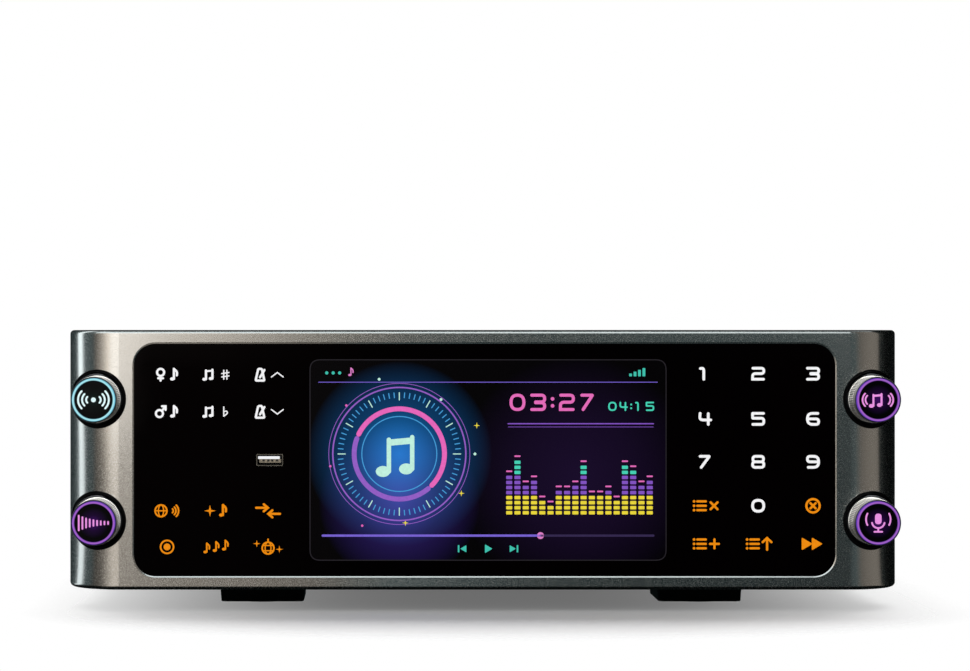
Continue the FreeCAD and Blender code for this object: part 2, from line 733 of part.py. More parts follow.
def lcd_module():
    """Display module: a framed panel with a sunk view area."""
    module = upright_plate(DISPLAY_X, MID_Z, LCD_W, LCD_H, LCD_CORNER, LCD_FRONT, LCD_BACK)
    x0, x1 = DISPLAY_X - LCD_VIEW_W / 2, DISPLAY_X + LCD_VIEW_W / 2
    z0, z1 = MID_Z - LCD_VIEW_H / 2, MID_Z + LCD_VIEW_H / 2
    return module.cut(block(x0, x1, LCD_FRONT - PAST, LCD_FRONT + LCD_VIEW_SINK, z0, z1))


def display_gasket():
    """Foam frame between the glass and the display."""
    rise = GLASS_BAND - LEDGE_WIDTH - GASKET_GAP
    width, height = LCD_VIEW_W + 2 * GASKET_WIDTH, LCD_VIEW_H + 2 * rise
    outer = upright_plate(DISPLAY_X, MID_Z, width, height, LCD_CORNER, GLASS_T, LCD_FRONT)
    x0, x1 = DISPLAY_X - LCD_VIEW_W / 2, DISPLAY_X + LCD_VIEW_W / 2
    z0, z1 = MID_Z - LCD_VIEW_H / 2, MID_Z + LCD_VIEW_H / 2
    return outer.cut(block(x0, x1, GLASS_T - PAST, LCD_FRONT + PAST, z0, z1))


def port_passage(y0, y1):
    """Cutter that lets the front port through a board or plate."""
    gap = 2 * PORT_CLEARANCE
    return upright_plate(PORT_X, MID_Z, PORT_W + 2 * gap, PORT_H + 2 * gap, gap, y0 - PAST, y1 + PAST)


def touch_board(side):
    """Touch-key board bonded to the back of the glass beside the display."""
    half_h = GLASS_H / 2 - LEDGE_WIDTH - TOUCH_BOARD_GAP
    x0, x1 = sorted([DISPLAY_X + side * TOUCH_BOARD_INNER, side * TOUCH_BOARD_OUTER])
    back = GLASS_T + BOARD_T
    return block(x0, x1, GLASS_T, back, MID_Z - half_h, MID_Z + half_h).cut(port_passage(GLASS_T, back))


def front_bracket():
    """Pressed plate that clamps the display and carries the port's board."""
    half_w = GLASS_HALF - BRACKET_MARGIN
    half_h = LCD_H / 2
    plate = block(-half_w, half_w, LCD_BACK, BRACKET_BACK, MID_Z - half_h, MID_Z + half_h)
    ears = []
    for x, z in bracket_screw_places():
        x0, x1 = sorted([math.copysign(half_w - PAST, x), x + math.copysign(BOSS_RADIUS + PAST, x)])
        ears.append(block(x0, x1, LCD_BACK, BRACKET_BACK, z - EAR_H / 2, z + EAR_H / 2))
    window = upright_plate(
        0, MID_Z, BRACKET_WINDOW_W, BRACKET_WINDOW_H, BRACKET_WINDOW_CORNER,
        LCD_BACK - PAST, BRACKET_BACK + PAST,
    )
    places = bracket_screw_places() + port_screw_places()
    holes = [rod(x, z, PASSAGE, LCD_BACK - PAST, BRACKET_BACK + PAST) for x, z in places]
    openings = [window, port_passage(LCD_BACK, BRACKET_BACK)]
    return plate.fuse(ears).cut(openings + holes).removeSplitter()


# Front port

def port_screw_places():
    """Screws of the port's board, left and right of the port."""
    offset = PORT_BOARD_W / 2 - STANDOFF_RADIUS - PAST
    return [(PORT_X - offset, MID_Z), (PORT_X + offset, MID_Z)]


def port_shell():
    """Metal shell of the front port, open at the glass."""
    shell = upright_plate(PORT_X, MID_Z, PORT_W, PORT_H, PORT_SHELL_T, PORT_SET, PORT_BOARD_FRONT)
    half_w, half_h = PORT_W / 2 - PORT_SHELL_T, PORT_H / 2 - PORT_SHELL_T
    inside = block(
        PORT_X - half_w, PORT_X + half_w, PORT_SET - PAST, PORT_BOARD_FRONT + PAST,
        MID_Z - half_h, MID_Z + half_h,
    )
    return shell.cut(inside)


def port_tongue():
    """Insulator with the contact tongue in the upper half of the port."""
    half_w, half_h = PORT_W / 2 - PORT_SHELL_T, PORT_H / 2 - PORT_SHELL_T
    base = block(
        PORT_X - half_w, PORT_X + half_w, PORT_BOARD_FRONT - PORT_BACK_T, PORT_BOARD_FRONT,
        MID_Z - half_h, MID_Z + half_h,
    )
    half_w -= PORT_TONGUE_SIDE
    top = MID_Z + half_h - PORT_TONGUE_TOP
    tongue = block(
        PORT_X - half_w, PORT_X + half_w, PORT_SET + PORT_TONGUE_SET, PORT_BOARD_FRONT,
        top - PORT_TONGUE_T, top,
    )
    return base.fuse(tongue)


def port_board():
    """Small board behind the bracket, with its two spacers."""
    half_w, half_h = PORT_BOARD_W / 2, PORT_BOARD_H / 2
    board = block(
        PORT_X - half_w, PORT_X + half_w, PORT_BOARD_FRONT, PORT_BOARD_FRONT + BOARD_T,
        MID_Z - half_h, MID_Z + half_h,
    )
    spacers = [rod(x, z, STANDOFF_RADIUS, BRACKET_BACK, PORT_BOARD_FRONT) for x, z in port_screw_places()]
    back = PORT_BOARD_FRONT + BOARD_T
    holes = [rod(x, z, PILOT, BRACKET_BACK - PAST, back + PAST) for x, z in port_screw_places()]
    return board.fuse(spacers).cut(holes)


# Case

def side_screw_places():
    """Cover screws on each side: (depth, height) into the tray's and the rear panel's flanges."""
    low = BODY_BOTTOM + TRAY_SCREW_RISE
    depths = [FASCIA_DEPTH + (REAR_INSIDE - FASCIA_DEPTH) * share for share in COVER_SCREW_SHARES]
    return [(y, low) for y in depths] + [(REAR_INSIDE - REAR_FLANGE / 2, COVER_TOP - REAR_SCREW_DROP)]


def vents():
    """Cooling slots: two groups on the top, one on each side."""
    tools = []
    deep = 3 * COVER_T
    for group in (-1, 1):
        for offset in rows(TOP_VENT_COUNT, VENT_PITCH):
            x = group * COVER_HALF / 2 + offset
            y = BODY_DEPTH - TOP_VENT_LENGTH
            tools.append(moved(slot(TOP_VENT_LENGTH, VENT_WIDTH, deep), x, y, COVER_TOP - 2 * COVER_T))
    for side in (-1, 1):
        for offset in rows(SIDE_VENT_COUNT, VENT_PITCH):
            opening = slot(SIDE_VENT_LENGTH, VENT_WIDTH, deep)
            opening.rotate(V(0, 0, 0), X_AXIS, 90)
            opening.rotate(V(0, 0, 0), Z_AXIS, 90)
            x = side * COVER_HALF - (2 * COVER_T if side > 0 else COVER_T)
            tools.append(moved(opening, x, BODY_DEPTH / 2 + offset, MID_Z))
    return tools


def top_cover():
    """Folded steel cover: top and two sides with cooling slots."""
    z0 = BODY_BOTTOM + COVER_CLEARANCE
    outer = block(-COVER_HALF, COVER_HALF, COVER_FRONT, BODY_DEPTH, z0, COVER_TOP)
    bends = [e for e in edges_along(outer, Y_AXIS) if e.CenterOfMass.z > MID_Z]
    outer = outer.makeFillet(COVER_BEND, bends)
    half = COVER_HALF - COVER_T
    inner = block(-half, half, COVER_FRONT - PAST, BODY_DEPTH + PAST, z0 - PAST, COVER_TOP - COVER_T)
    bends = [e for e in edges_along(inner, Y_AXIS) if e.CenterOfMass.z > MID_Z]
    inner = inner.makeFillet(COVER_BEND - COVER_T, bends)
    holes = [
        peg(y, z, PASSAGE, side * COVER_HALF - 2 * COVER_T, side * COVER_HALF + 2 * COVER_T)
        for side in (-1, 1) for y, z in side_screw_places()
    ]
    return outer.cut(inner).cut(vents() + holes)


def board_screw_places():
    """Standoffs of the main board and the supply board."""
    inset = STANDOFF_INSET
    main_half = MAIN_BOARD_W / 2 - inset
    supply_half = SUPPLY_BOARD_W / 2 - inset
    places = []
    for side in (-1, 1):
        for y in (MAIN_BOARD_FRONT + inset, MAIN_BOARD_BACK - MAIN_STANDOFF_BACK):
            places.append((MAIN_BOARD_X + side * main_half, y))
        for y in (SUPPLY_BACK - SUPPLY_BOARD_D + inset, SUPPLY_BACK - inset):
            places.append((SUPPLY_BOARD_X + side * supply_half, y))
    return places


def base_tray():
    """Folded steel tray: floor and two side flanges, with screw holes."""
    floor = block(-TRAY_HALF, TRAY_HALF, TRAY_FRONT, REAR_INSIDE, BODY_BOTTOM, TRAY_TOP)
    flanges = []
    for side in (-1, 1):
        x0, x1 = sorted([side * (TRAY_HALF - TRAY_T), side * TRAY_HALF])
        flanges.append(block(x0, x1, FASCIA_DEPTH, REAR_INSIDE, BODY_BOTTOM, BODY_BOTTOM + TRAY_FLANGE))
    low = BODY_BOTTOM - PAST
    holes = [post(x, y, PILOT, low, TRAY_TOP + PAST) for x, y in fascia_screw_places()]
    holes += [post(x, y, PILOT, low, TRAY_TOP + PAST) for x, y in FEET.values()]
    holes += [post(x, y, PASSAGE, low, TRAY_TOP + PAST) for x, y in tray_screw_places()]
    holes += [
        peg(y, z, PILOT, side * TRAY_HALF - 2 * TRAY_T, side * TRAY_HALF + 2 * TRAY_T)
        for side in (-1, 1) for y, z in side_screw_places()[:-1]
    ]
    return floor.fuse(flanges).cut(holes)


def tray_screw_places():
    """Screws from below that hold the rear panel's foot to the tray."""
    y = REAR_INSIDE - REAR_FLANGE / 2
    return [(share * TRAY_HALF, y) for share in TRAY_SCREW_SHARES]


def fan_screw_places():
    """The fan's four corner screws."""
    half = FAN_HOLE_HALF
    return [(FAN_X + sx * half, FAN_Z + sz * half) for sx in (-1, 1) for sz in (-1, 1)]


def grille_slots():
    """Rings of arc slots over the fan, parted by a cross of webs."""
    tools = []
    y0, y1 = REAR_INSIDE - PAST, BODY_DEPTH + PAST
    for i in range(GRILLE_RINGS):
        inner = GRILLE_CENTRE + i * (GRILLE_SLOT + GRILLE_WEB)
        tools.append(rod(FAN_X, FAN_Z, inner + GRILLE_SLOT, y0, y1).cut(rod(FAN_X, FAN_Z, inner, y0, y1)))
    half = FAN_SIZE / 2
    web = GRILLE_WEB / 2
    upright = block(FAN_X - web, FAN_X + web, y0 - PAST, y1 + PAST, FAN_Z - half, FAN_Z + half)
    level = block(FAN_X - half, FAN_X + half, y0 - PAST, y1 + PAST, FAN_Z - web, FAN_Z + web)
    return Part.makeCompound(tools).cut([upright, level]).Solids


def connector_places():
    """Middles of the rear connectors, with even gaps along the main board's back edge."""
    widths = {
        "left_jack": JACK_BODY_W,
        "right_jack": JACK_BODY_W,
        "phono": 2 * PHONO_PITCH,
        "video": VIDEO_W,
        "network": NETWORK_W,
    }
    gap = (MAIN_BOARD_W - 2 * CONNECTOR_EDGE - sum(widths.values())) / (len(widths) - 1)
    places = {}
    x = MAIN_BOARD_X - MAIN_BOARD_W / 2 + CONNECTOR_EDGE
    for name, width in widths.items():
        places[name] = x + width / 2
        x += width + gap
    return places


CONNECTOR_X = connector_places()


def phono_places():
    """Two columns and two rows of phono sockets."""
    x, half = CONNECTOR_X["phono"], PHONO_PITCH / 2
    return [(x + col * half, PHONO_LOW_Z + row * PHONO_PITCH) for col in (-1, 1) for row in (0, 1)]


def jack_places():
    """The two microphone jacks."""
    return [CONNECTOR_X["left_jack"], CONNECTOR_X["right_jack"]]


def panel_cutouts():
    """Openings in the rear panel for the connectors, the inlet and the switch."""
    y0, y1 = REAR_INSIDE - PAST, BODY_DEPTH + PAST
    gap = PANEL_HOLE_GAP
    tools = [rod(x, z, PHONO_RADIUS + gap, y0, y1) for x, z in phono_places()]
    tools += [rod(x, JACK_Z, JACK_BUSH_RADIUS + gap, y0, y1) for x in jack_places()]
    sizes = [
        (CONNECTOR_X["video"], VIDEO_Z, VIDEO_W, VIDEO_H),
        (CONNECTOR_X["network"], NETWORK_Z, NETWORK_W, NETWORK_H),
        (INLET_X, INLET_Z, INLET_BODY_W, INLET_BODY_H),
        (SWITCH_X, INLET_Z, SWITCH_BODY_W, SWITCH_BODY_H),
    ]
    for x, z, width, height in sizes:
        tools.append(upright_plate(x, z, width + 2 * gap, height + 2 * gap, gap, y0, y1))
    tools += [rod(x, z, PASSAGE, y0, y1) for x, z in fan_screw_places()]
    return tools


def rear_panel():
    """Rear panel with a foot and side flanges folded forwards, cut for the connectors and the fan."""
    panel = block(-TRAY_HALF, TRAY_HALF, REAR_INSIDE, BODY_DEPTH, BODY_BOTTOM, REAR_TOP)
    upper = [e for e in edges_along(panel, Y_AXIS) if e.CenterOfMass.z > MID_Z]
    panel = panel.makeFillet(COVER_BEND, upper)
    foot_half = TRAY_HALF - 2 * TRAY_T
    front = REAR_INSIDE - REAR_FLANGE
    folds = [block(-foot_half, foot_half, front, REAR_INSIDE, TRAY_TOP, TRAY_TOP + TRAY_T)]
    for side in (-1, 1):
        x0, x1 = sorted([side * (TRAY_HALF - TRAY_T), side * TRAY_HALF])
        low, high = BODY_BOTTOM + TRAY_FLANGE + PAST, REAR_TOP - COVER_BEND
        folds.append(block(x0, x1, front, REAR_INSIDE, low, high))
    y, z = side_screw_places()[-1]
    holes = [
        peg(y, z, PILOT, side * TRAY_HALF - 2 * TRAY_T, side * TRAY_HALF + 2 * TRAY_T) for side in (-1, 1)
    ]
    holes += [post(x, y, PILOT, TRAY_TOP - PAST, TRAY_TOP + TRAY_T + PAST) for x, y in tray_screw_places()]
    return panel.fuse(folds).cut(panel_cutouts() + grille_slots() + holes)


# Feet

def foot(x, y):
    """Round foot with a slight taper, a recess for its pad and a sunk screw."""
    top = BODY_BOTTOM
    low = FOOT_RADIUS - FOOT_TAPER
    body = Part.makeCone(low, FOOT_RADIUS, top - PAD_PROUD, V(x, y, PAD_PROUD), Z_AXIS)
    body = body.makeFillet(FOOT_ROUND, edges_in_plane(body, "Z", PAD_PROUD))
    recess = post(x, y, PAD_RADIUS + PAD_CLEARANCE, 0, PAD_T)
    head = post(x, y, SCREW_HEAD_RADIUS + PAD_CLEARANCE, 0, FOOT_SCREW_RISE)
    return body.cut([recess, head, post(x, y, PASSAGE, 0, top + PAST)])


# Boards and what they carry

def board(x, width, y0, y1):
    """Circuit board on its standoffs, drilled at the corners."""
    plate = block(x - width / 2, x + width / 2, y0, y1, BOARD_BOTTOM, BOARD_TOP)
    holes = [
        post(hx, hy, PASSAGE, BOARD_BOTTOM - PAST, BOARD_TOP + PAST) for hx, hy in board_screw_places()
        if abs(hx - x) < width / 2
    ]
    return plate.cut(holes)


def standoff(x, y):
    """Threaded pillar between the tray and a board."""
    pillar = post(x, y, STANDOFF_RADIUS, TRAY_TOP, BOARD_BOTTOM)
    return pillar.cut(post(x, y, PILOT, BOARD_BOTTOM - SCREW_BITE, BOARD_BOTTOM + PAST))


def board_parts():
    """Main chip, memory chips, filter capacitors and the display's socket."""
    x, y, top = MAIN_BOARD_X, CHIP_Y, BOARD_TOP
    half = CHIP_W / 2
    reach = HEATSINK_W / 2 + HEATSINK_GAP
    parts = [block(x - half, x + half, y - half, y + half, top, top + CHIP_T)]
    half = MEMORY_W / 2
    for offset in rows(MEMORY_COUNT, MEMORY_PITCH):
        low, high = y + offset - half, y + offset + half
        parts.append(block(x + reach - half, x + reach + half, low, high, top, top + MEMORY_T))
    for offset in rows(FILTER_COUNT, FILTER_PITCH):
        parts.append(post(x - reach, y + offset, FILTER_RADIUS, top, top + FILTER_H))
    front, half = MAIN_BOARD_FRONT + SOCKET_SET, SOCKET_W / 2
    parts.append(block(RIBBON_X - half, RIBBON_X + half, front, front + SOCKET_D, top, top + SOCKET_H))
    return parts


def heatsink():
    """Finned heatsink on the main chip."""
    x, y = MAIN_BOARD_X, CHIP_Y
    half = HEATSINK_W / 2
    low = BOARD_TOP + CHIP_T
    base = block(x - half, x + half, y - half, y + half, low, low + HEATSINK_BASE)
    pitch = (HEATSINK_W - FIN_T) / (FIN_COUNT - 1)
    fins = [
        block(x + fx - FIN_T / 2, x + fx + FIN_T / 2, y - half, y + half, low, low + HEATSINK_H)
        for fx in rows(FIN_COUNT, pitch)
    ]
    return base.fuse(fins).removeSplitter()


def supply_parts():
    """Transformer and reservoir capacitors of the power supply."""
    x, y = SUPPLY_BOARD_X, SUPPLY_Y
    half = TRANSFORMER_SIZE / 2
    core = block(x - half, x + half, y - half, y + half, BOARD_TOP, BOARD_TOP + TRANSFORMER_H)
    parts = [core.makeFillet(TRANSFORMER_CORNER, edges_along(core, Z_AXIS))]
    offset = half + CAN_GAP + CAN_RADIUS
    top = BOARD_TOP + CAN_H
    for side in (-1, 1):
        can = post(x + side * offset, y, CAN_RADIUS, BOARD_TOP, top)
        parts.append(can.makeFillet(CAN_ROUND, edges_in_plane(can, "Z", top)))
    return parts


def drive():
    """Solid-state drive on the tray."""
    body = block(
        DRIVE_X - DRIVE_W / 2, DRIVE_X + DRIVE_W / 2, DRIVE_Y - DRIVE_D / 2, DRIVE_Y + DRIVE_D / 2,
        TRAY_TOP, TRAY_TOP + DRIVE_H,
    )
    return body.makeFillet(DRIVE_ROUND, edges_along(body, Z_AXIS))


def ribbon():
    """Flat ribbon from the display's back down to its socket on the main board."""
    z_top = MID_Z
    z_low = BOARD_TOP + SOCKET_H / 2
    y0 = LCD_BACK
    y1 = y0 + RIBBON_RUN
    y2 = MAIN_BOARD_FRONT + SOCKET_SET
    bend = RIBBON_BEND
    diagonal = bend * math.sqrt(0.5)
    route = [
        (y0, z_top),
        (y1, z_top),
        (y1 + diagonal, z_top - bend + diagonal),
        (y1 + bend, z_top - bend),
        (y1 + bend, z_low + bend),
        (y1 + 2 * bend - diagonal, z_low + bend - diagonal),
        (y1 + 2 * bend, z_low),
        (y2, z_low),
    ]
    points = [V(RIBBON_X, y, z) for y, z in route]
    edges = [
        Part.makeLine(points[0], points[1]),
        Part.Arc(points[1], points[2], points[3]).toShape(),
        Part.makeLine(points[3], points[4]),
        Part.Arc(points[4], points[5], points[6]).toShape(),
        Part.makeLine(points[6], points[7]),
    ]
    half_w, half_t = RIBBON_W / 2, RIBBON_T / 2
    corners = [(-half_w, -half_t), (half_w, -half_t), (half_w, half_t), (-half_w, half_t)]
    section = [V(RIBBON_X + dx, y0, z_top + dz) for dx, dz in corners]
    return Part.Wire(edges).makePipeShell([Part.makePolygon(section + section[:1])], True, True)


# Rear connectors

def phono_block():
    """Moulded body of the phono sockets: a nose through each panel hole and an insulator in each barrel."""
    half = PHONO_PITCH
    x = CONNECTOR_X["phono"]
    front = REAR_INSIDE - PHONO_DEPTH
    body = block(x - half, x + half, front, REAR_INSIDE, BOARD_TOP, BOARD_TOP + 2 * PHONO_PITCH)
    inner = PHONO_RADIUS - PHONO_WALL
    nose = PHONO_RADIUS - PHONO_WALL / 2
    end = BODY_DEPTH + PHONO_REACH - PHONO_CORE_SET
    rods = [rod(px, pz, nose, REAR_INSIDE - PAST, BODY_DEPTH + PHONO_SEAT) for px, pz in phono_places()]
    rods += [rod(px, pz, inner, REAR_INSIDE - PAST, end) for px, pz in phono_places()]
    holes = [rod(px, pz, PHONO_PIN_HOLE, front + PAST, end + PAST) for px, pz in phono_places()]
    return body.fuse(rods).cut(holes)


def phono_barrel(x, z):
    """Metal barrel of one phono socket, seated on its nose."""
    start, end = BODY_DEPTH + PHONO_SEAT, BODY_DEPTH + PHONO_REACH
    outer = rod(x, z, PHONO_RADIUS, start, end)
    outer = outer.makeChamfer(PHONO_WALL / 2, edges_in_plane(outer, "Y", end))
    return outer.cut(rod(x, z, PHONO_RADIUS - PHONO_WALL, start - PAST, end + PAST))


def microphone_jack(x):
    """Jack body with its bush through the panel and a blind bore for the plug."""
    half_w, half_h = JACK_BODY_W / 2, JACK_BODY_H / 2
    front, end = REAR_INSIDE - JACK_BODY_D, BODY_DEPTH + JACK_BUSH_REACH
    body = block(x - half_w, x + half_w, front, REAR_INSIDE, JACK_Z - half_h, JACK_Z + half_h)
    bush = rod(x, JACK_Z, JACK_BUSH_RADIUS, REAR_INSIDE - PAST, end)
    return body.fuse(bush).cut(rod(x, JACK_Z, JACK_BORE, front + JACK_BACK_T, end + PAST))


def jack_nut(x):
    """Round nut on a jack's bush."""
    end = BODY_DEPTH + JACK_NUT_T
    nut = rod(x, JACK_Z, JACK_NUT_RADIUS, BODY_DEPTH, end)
    nut = nut.makeChamfer(JACK_NUT_BEVEL, edges_in_plane(nut, "Y", end))
    return nut.cut(rod(x, JACK_Z, JACK_BUSH_RADIUS + SCREW_HOLE_GAP, BODY_DEPTH - PAST, end + PAST))


def video_port():
    """Video socket: a flat shell with a tongue."""
    x, z = CONNECTOR_X["video"], VIDEO_Z
    front = REAR_INSIDE - VIDEO_DEPTH
    half_w, half_h = VIDEO_W / 2, VIDEO_H / 2
    shell = block(x - half_w, x + half_w, front, BODY_DEPTH, z - half_h, z + half_h)
    half_w, half_h = half_w - SHELL_T, half_h - SHELL_T
    inside = block(x - half_w, x + half_w, front + PAST, BODY_DEPTH + PAST, z - half_h, z + half_h)
    half_w, half_h = half_w - VIDEO_TONGUE_SIDE, VIDEO_TONGUE_T / 2
    tongue = block(x - half_w, x + half_w, front, BODY_DEPTH - PAST, z - half_h, z + half_h)
    return shell.cut(inside).fuse(tongue)


def network_port():
    """Network socket with a latch notch below its cavity."""
    x = CONNECTOR_X["network"]
    half = NETWORK_W / 2
    floor = BODY_DEPTH - NETWORK_CAVITY_D
    body = block(x - half, x + half, floor - NETWORK_BACK_T, BODY_DEPTH, BOARD_TOP, BOARD_TOP + NETWORK_H)
    half = NETWORK_CAVITY_W / 2
    top = BOARD_TOP + NETWORK_H - NETWORK_WALL
    low = top - NETWORK_CAVITY_H
    cavity = block(x - half, x + half, floor, BODY_DEPTH + PAST, low, top)
    half = NETWORK_NOTCH_W / 2
    notch = block(
        x - half, x + half, BODY_DEPTH - NETWORK_NOTCH_D, BODY_DEPTH + PAST, low - NETWORK_NOTCH_H, low + PAST
    )
    return body.cut([cavity, notch])


def mains_pin_places():
    """Live and neutral below, earth above and between."""
    low, high = INLET_Z - MAINS_PIN_STEP, INLET_Z + MAINS_PIN_STEP
    return [(INLET_X - MAINS_PIN_SPREAD, low), (INLET_X + MAINS_PIN_SPREAD, low), (INLET_X, high)]


def mains_inlet():
    """Appliance inlet: flange outside the panel, body inside, and a cavity with two bevelled corners."""
    x, z = INLET_X, INLET_Z
    outside = BODY_DEPTH + INLET_FLANGE_T
    floor = outside - INLET_CAVITY_D
    width, height = INLET_BODY_W + 2 * INLET_LIP, INLET_BODY_H + 2 * INLET_LIP
    flange = upright_plate(x, z, width, height, INLET_FLANGE_CORNER, BODY_DEPTH, outside)
    half_w, half_h = INLET_BODY_W / 2, INLET_BODY_H / 2
    body = block(x - half_w, x + half_w, floor - INLET_FLOOR, BODY_DEPTH + PAST, z - half_h, z + half_h)
    half_w, half_h = INLET_CAVITY_W / 2, INLET_CAVITY_H / 2
    cavity = block(x - half_w, x + half_w, floor, outside + PAST, z - half_h, z + half_h)
    upper = [e for e in edges_along(cavity, Y_AXIS) if e.CenterOfMass.z > z]
    return flange.fuse(body).cut(cavity.makeChamfer(INLET_CORNER, upper))


def mains_pins():
    """Three contact pins that stand on the inlet's floor."""
    floor = BODY_DEPTH + INLET_FLANGE_T - INLET_CAVITY_D
    end = floor + MAINS_PIN_LENGTH
    half_w, half_h = MAINS_PIN_W / 2, MAINS_PIN_H / 2
    pins = []
    for x, z in mains_pin_places():
        pin = block(x - half_w, x + half_w, floor, end, z - half_h, z + half_h)
        pins.append(pin.makeChamfer(MAINS_PIN_BEVEL, edges_in_plane(pin, "Y", end)))
    return pins


def rocker_pivot():
    """Depth of the rocker's pin."""
    return BODY_DEPTH + SWITCH_FLANGE_T - ROCKER_TIP / 2


def switch_body():
    """Switch housing: flange outside the panel and a well for the rocker, with pin holes in its walls."""
    x, z = SWITCH_X, INLET_Z
    outside = BODY_DEPTH + SWITCH_FLANGE_T
    floor = outside - SWITCH_WELL_D
    width, height = SWITCH_BODY_W + 2 * SWITCH_LIP, SWITCH_BODY_H + 2 * SWITCH_LIP
    flange = upright_plate(x, z, width, height, SWITCH_FLANGE_CORNER, BODY_DEPTH, outside)
    half_w, half_h = SWITCH_BODY_W / 2, SWITCH_BODY_H / 2
    body = block(x - half_w, x + half_w, floor - SWITCH_FLOOR, BODY_DEPTH + PAST, z - half_h, z + half_h)
    half_w, half_h = SWITCH_WELL_W / 2, SWITCH_WELL_H / 2
    well = block(x - half_w, x + half_w, floor, outside + PAST, z - half_h, z + half_h)
    reach = half_w + ROCKER_PIN_BITE
    pin = peg(rocker_pivot(), z, ROCKER_PIN_RADIUS + RUNNING_GAP, x - reach, x + reach)
    return flange.fuse(body).cut([well, pin])


def rocker():
    """Rocker with a dished face and its pin, tilted to the off side."""
    half_w = SWITCH_WELL_W / 2 - ROCKER_GAP
    half_h = SWITCH_WELL_H / 2 - 2 * ROCKER_GAP
    reach = math.sqrt(half_h**2 - ROCKER_TIP**2)
    x0 = SWITCH_X - half_w
    profile = [
        (ROCKER_TIP, -reach),
        (ROCKER_WAIST, 0),
        (ROCKER_TIP, reach),
        (0, reach),
        (-ROCKER_BACK, reach / 2),
        (-ROCKER_BACK, -reach / 2),
        (0, -reach),
    ]
    points = [V(x0, y, z) for y, z in profile]
    dish = Part.Arc(points[0], points[1], points[2]).toShape()
    back = Part.makePolygon(points[2:] + points[:1])
    body = Part.Face(Part.Wire([dish] + back.Edges)).extrude(V(2 * half_w, 0, 0))
    bite = half_w + ROCKER_PIN_BITE
    body = body.fuse(peg(0, 0, ROCKER_PIN_RADIUS, SWITCH_X - bite, SWITCH_X + bite))
    body.rotate(V(0, 0, 0), X_AXIS, ROCKER_TILT)
    return moved(body, 0, rocker_pivot(), INLET_Z)


# Fan

def fan_frame():
    """Fan housing with a round bore, four struts and the motor's bearing."""
    front = REAR_INSIDE - FAN_T
    body = upright_plate(FAN_X, FAN_Z, FAN_SIZE, FAN_SIZE, FAN_CORNER, front, REAR_INSIDE)
    body = body.cut(rod(FAN_X, FAN_Z, FAN_BORE, front - PAST, REAR_INSIDE + PAST))
    inner = REAR_INSIDE - FAN_STATOR_T
    half = FAN_STRUT_W / 2
    reach = FAN_BORE + PAST
    struts = [
        block(FAN_X - half, FAN_X + half, inner, REAR_INSIDE, FAN_Z - reach, FAN_Z + reach),
        block(FAN_X - reach, FAN_X + reach, inner, REAR_INSIDE, FAN_Z - half, FAN_Z + half),
        rod(FAN_X, FAN_Z, FAN_HUB_RADIUS, inner, REAR_INSIDE),
    ]
    holes = [rod(x, z, PILOT, front - PAST, REAR_INSIDE + PAST) for x, z in fan_screw_places()]
    holes.append(rod(FAN_X, FAN_Z, FAN_SHAFT_RADIUS + RUNNING_GAP, inner - PAST, REAR_INSIDE + PAST))
    return body.fuse(struts).cut(holes).removeSplitter()


def fan_rotor():
    """Fan wheel: hub, pitched blades and a shaft in the frame's bearing."""
    back = REAR_INSIDE - FAN_STATOR_T - KNOB_GAP
    front = back - FAN_HUB_T
    hub = rod(FAN_X, FAN_Z, FAN_HUB_RADIUS, front, back)
    hub = hub.makeFillet(FAN_HUB_ROUND, edges_in_plane(hub, "Y", front))
    shaft = rod(FAN_X, FAN_Z, FAN_SHAFT_RADIUS, back - PAST, REAR_INSIDE - KNOB_GAP)
    tip = FAN_BORE - FAN_TIP_GAP
    blades = []
    for i in range(FAN_BLADES):
        half_c, half_t = FAN_BLADE_CHORD / 2, FAN_BLADE_T / 2
        blade = block(FAN_HUB_RADIUS - 2 * PAST, tip, -half_t, half_t, -half_c, half_c)
        blade.rotate(V(0, 0, 0), X_AXIS, FAN_BLADE_PITCH)
        blade.rotate(V(0, 0, 0), Y_AXIS, 360 * i / FAN_BLADES)
        blades.append(moved(blade, FAN_X, (front + back) / 2, FAN_Z))
    sweep = rod(FAN_X, FAN_Z, tip, front, back)
    return hub.fuse(blades).common(sweep).fuse(shaft)


# Screw groups

def inner_screws():
    """Screws inside the case: display bracket, encoder boards, front port and boards."""
    screws = [screw_back(x, BRACKET_BACK, z, SCREW_BITE) for x, z in bracket_screw_places()]
    screws += [screw_back(side * KNOB_X, ENCODER_BOARD_BACK, MID_Z, SCREW_BITE) for side in (-1, 1)]
    bite = BOARD_T + PORT_SPACER
    screws += [screw_back(x, PORT_BOARD_FRONT + BOARD_T, z, bite) for x, z in port_screw_places()]
    screws += [screw_down(x, y, BOARD_TOP, SCREW_BITE) for x, y in board_screw_places()]
    return screws


def case_screws():
    """Screws outside the case: cover, rear panel, fascia and fan."""
    bite = 2 * COVER_T + 2 * TRAY_T
    screws = [
        screw_side(side, side * COVER_HALF, y, z, bite) for side in (-1, 1) for y, z in side_screw_places()
    ]
    screws += [screw_up(x, y, BODY_BOTTOM, 2 * TRAY_T) for x, y in tray_screw_places()]
    screws += [screw_up(x, y, FASCIA_LIFT, SIDE_WALL + TRAY_T) for x, y in fascia_screw_places()]
    screws += [screw_back(x, BODY_DEPTH, z, TRAY_T + SCREW_BITE) for x, z in fan_screw_places()]
    return screws


def foot_screws():
    """Screws that hold the feet to the tray."""
    bite = TRAY_TOP - FOOT_SCREW_RISE
    return [screw_up(x, y, FOOT_SCREW_RISE, bite) for x, y in FEET.values()]


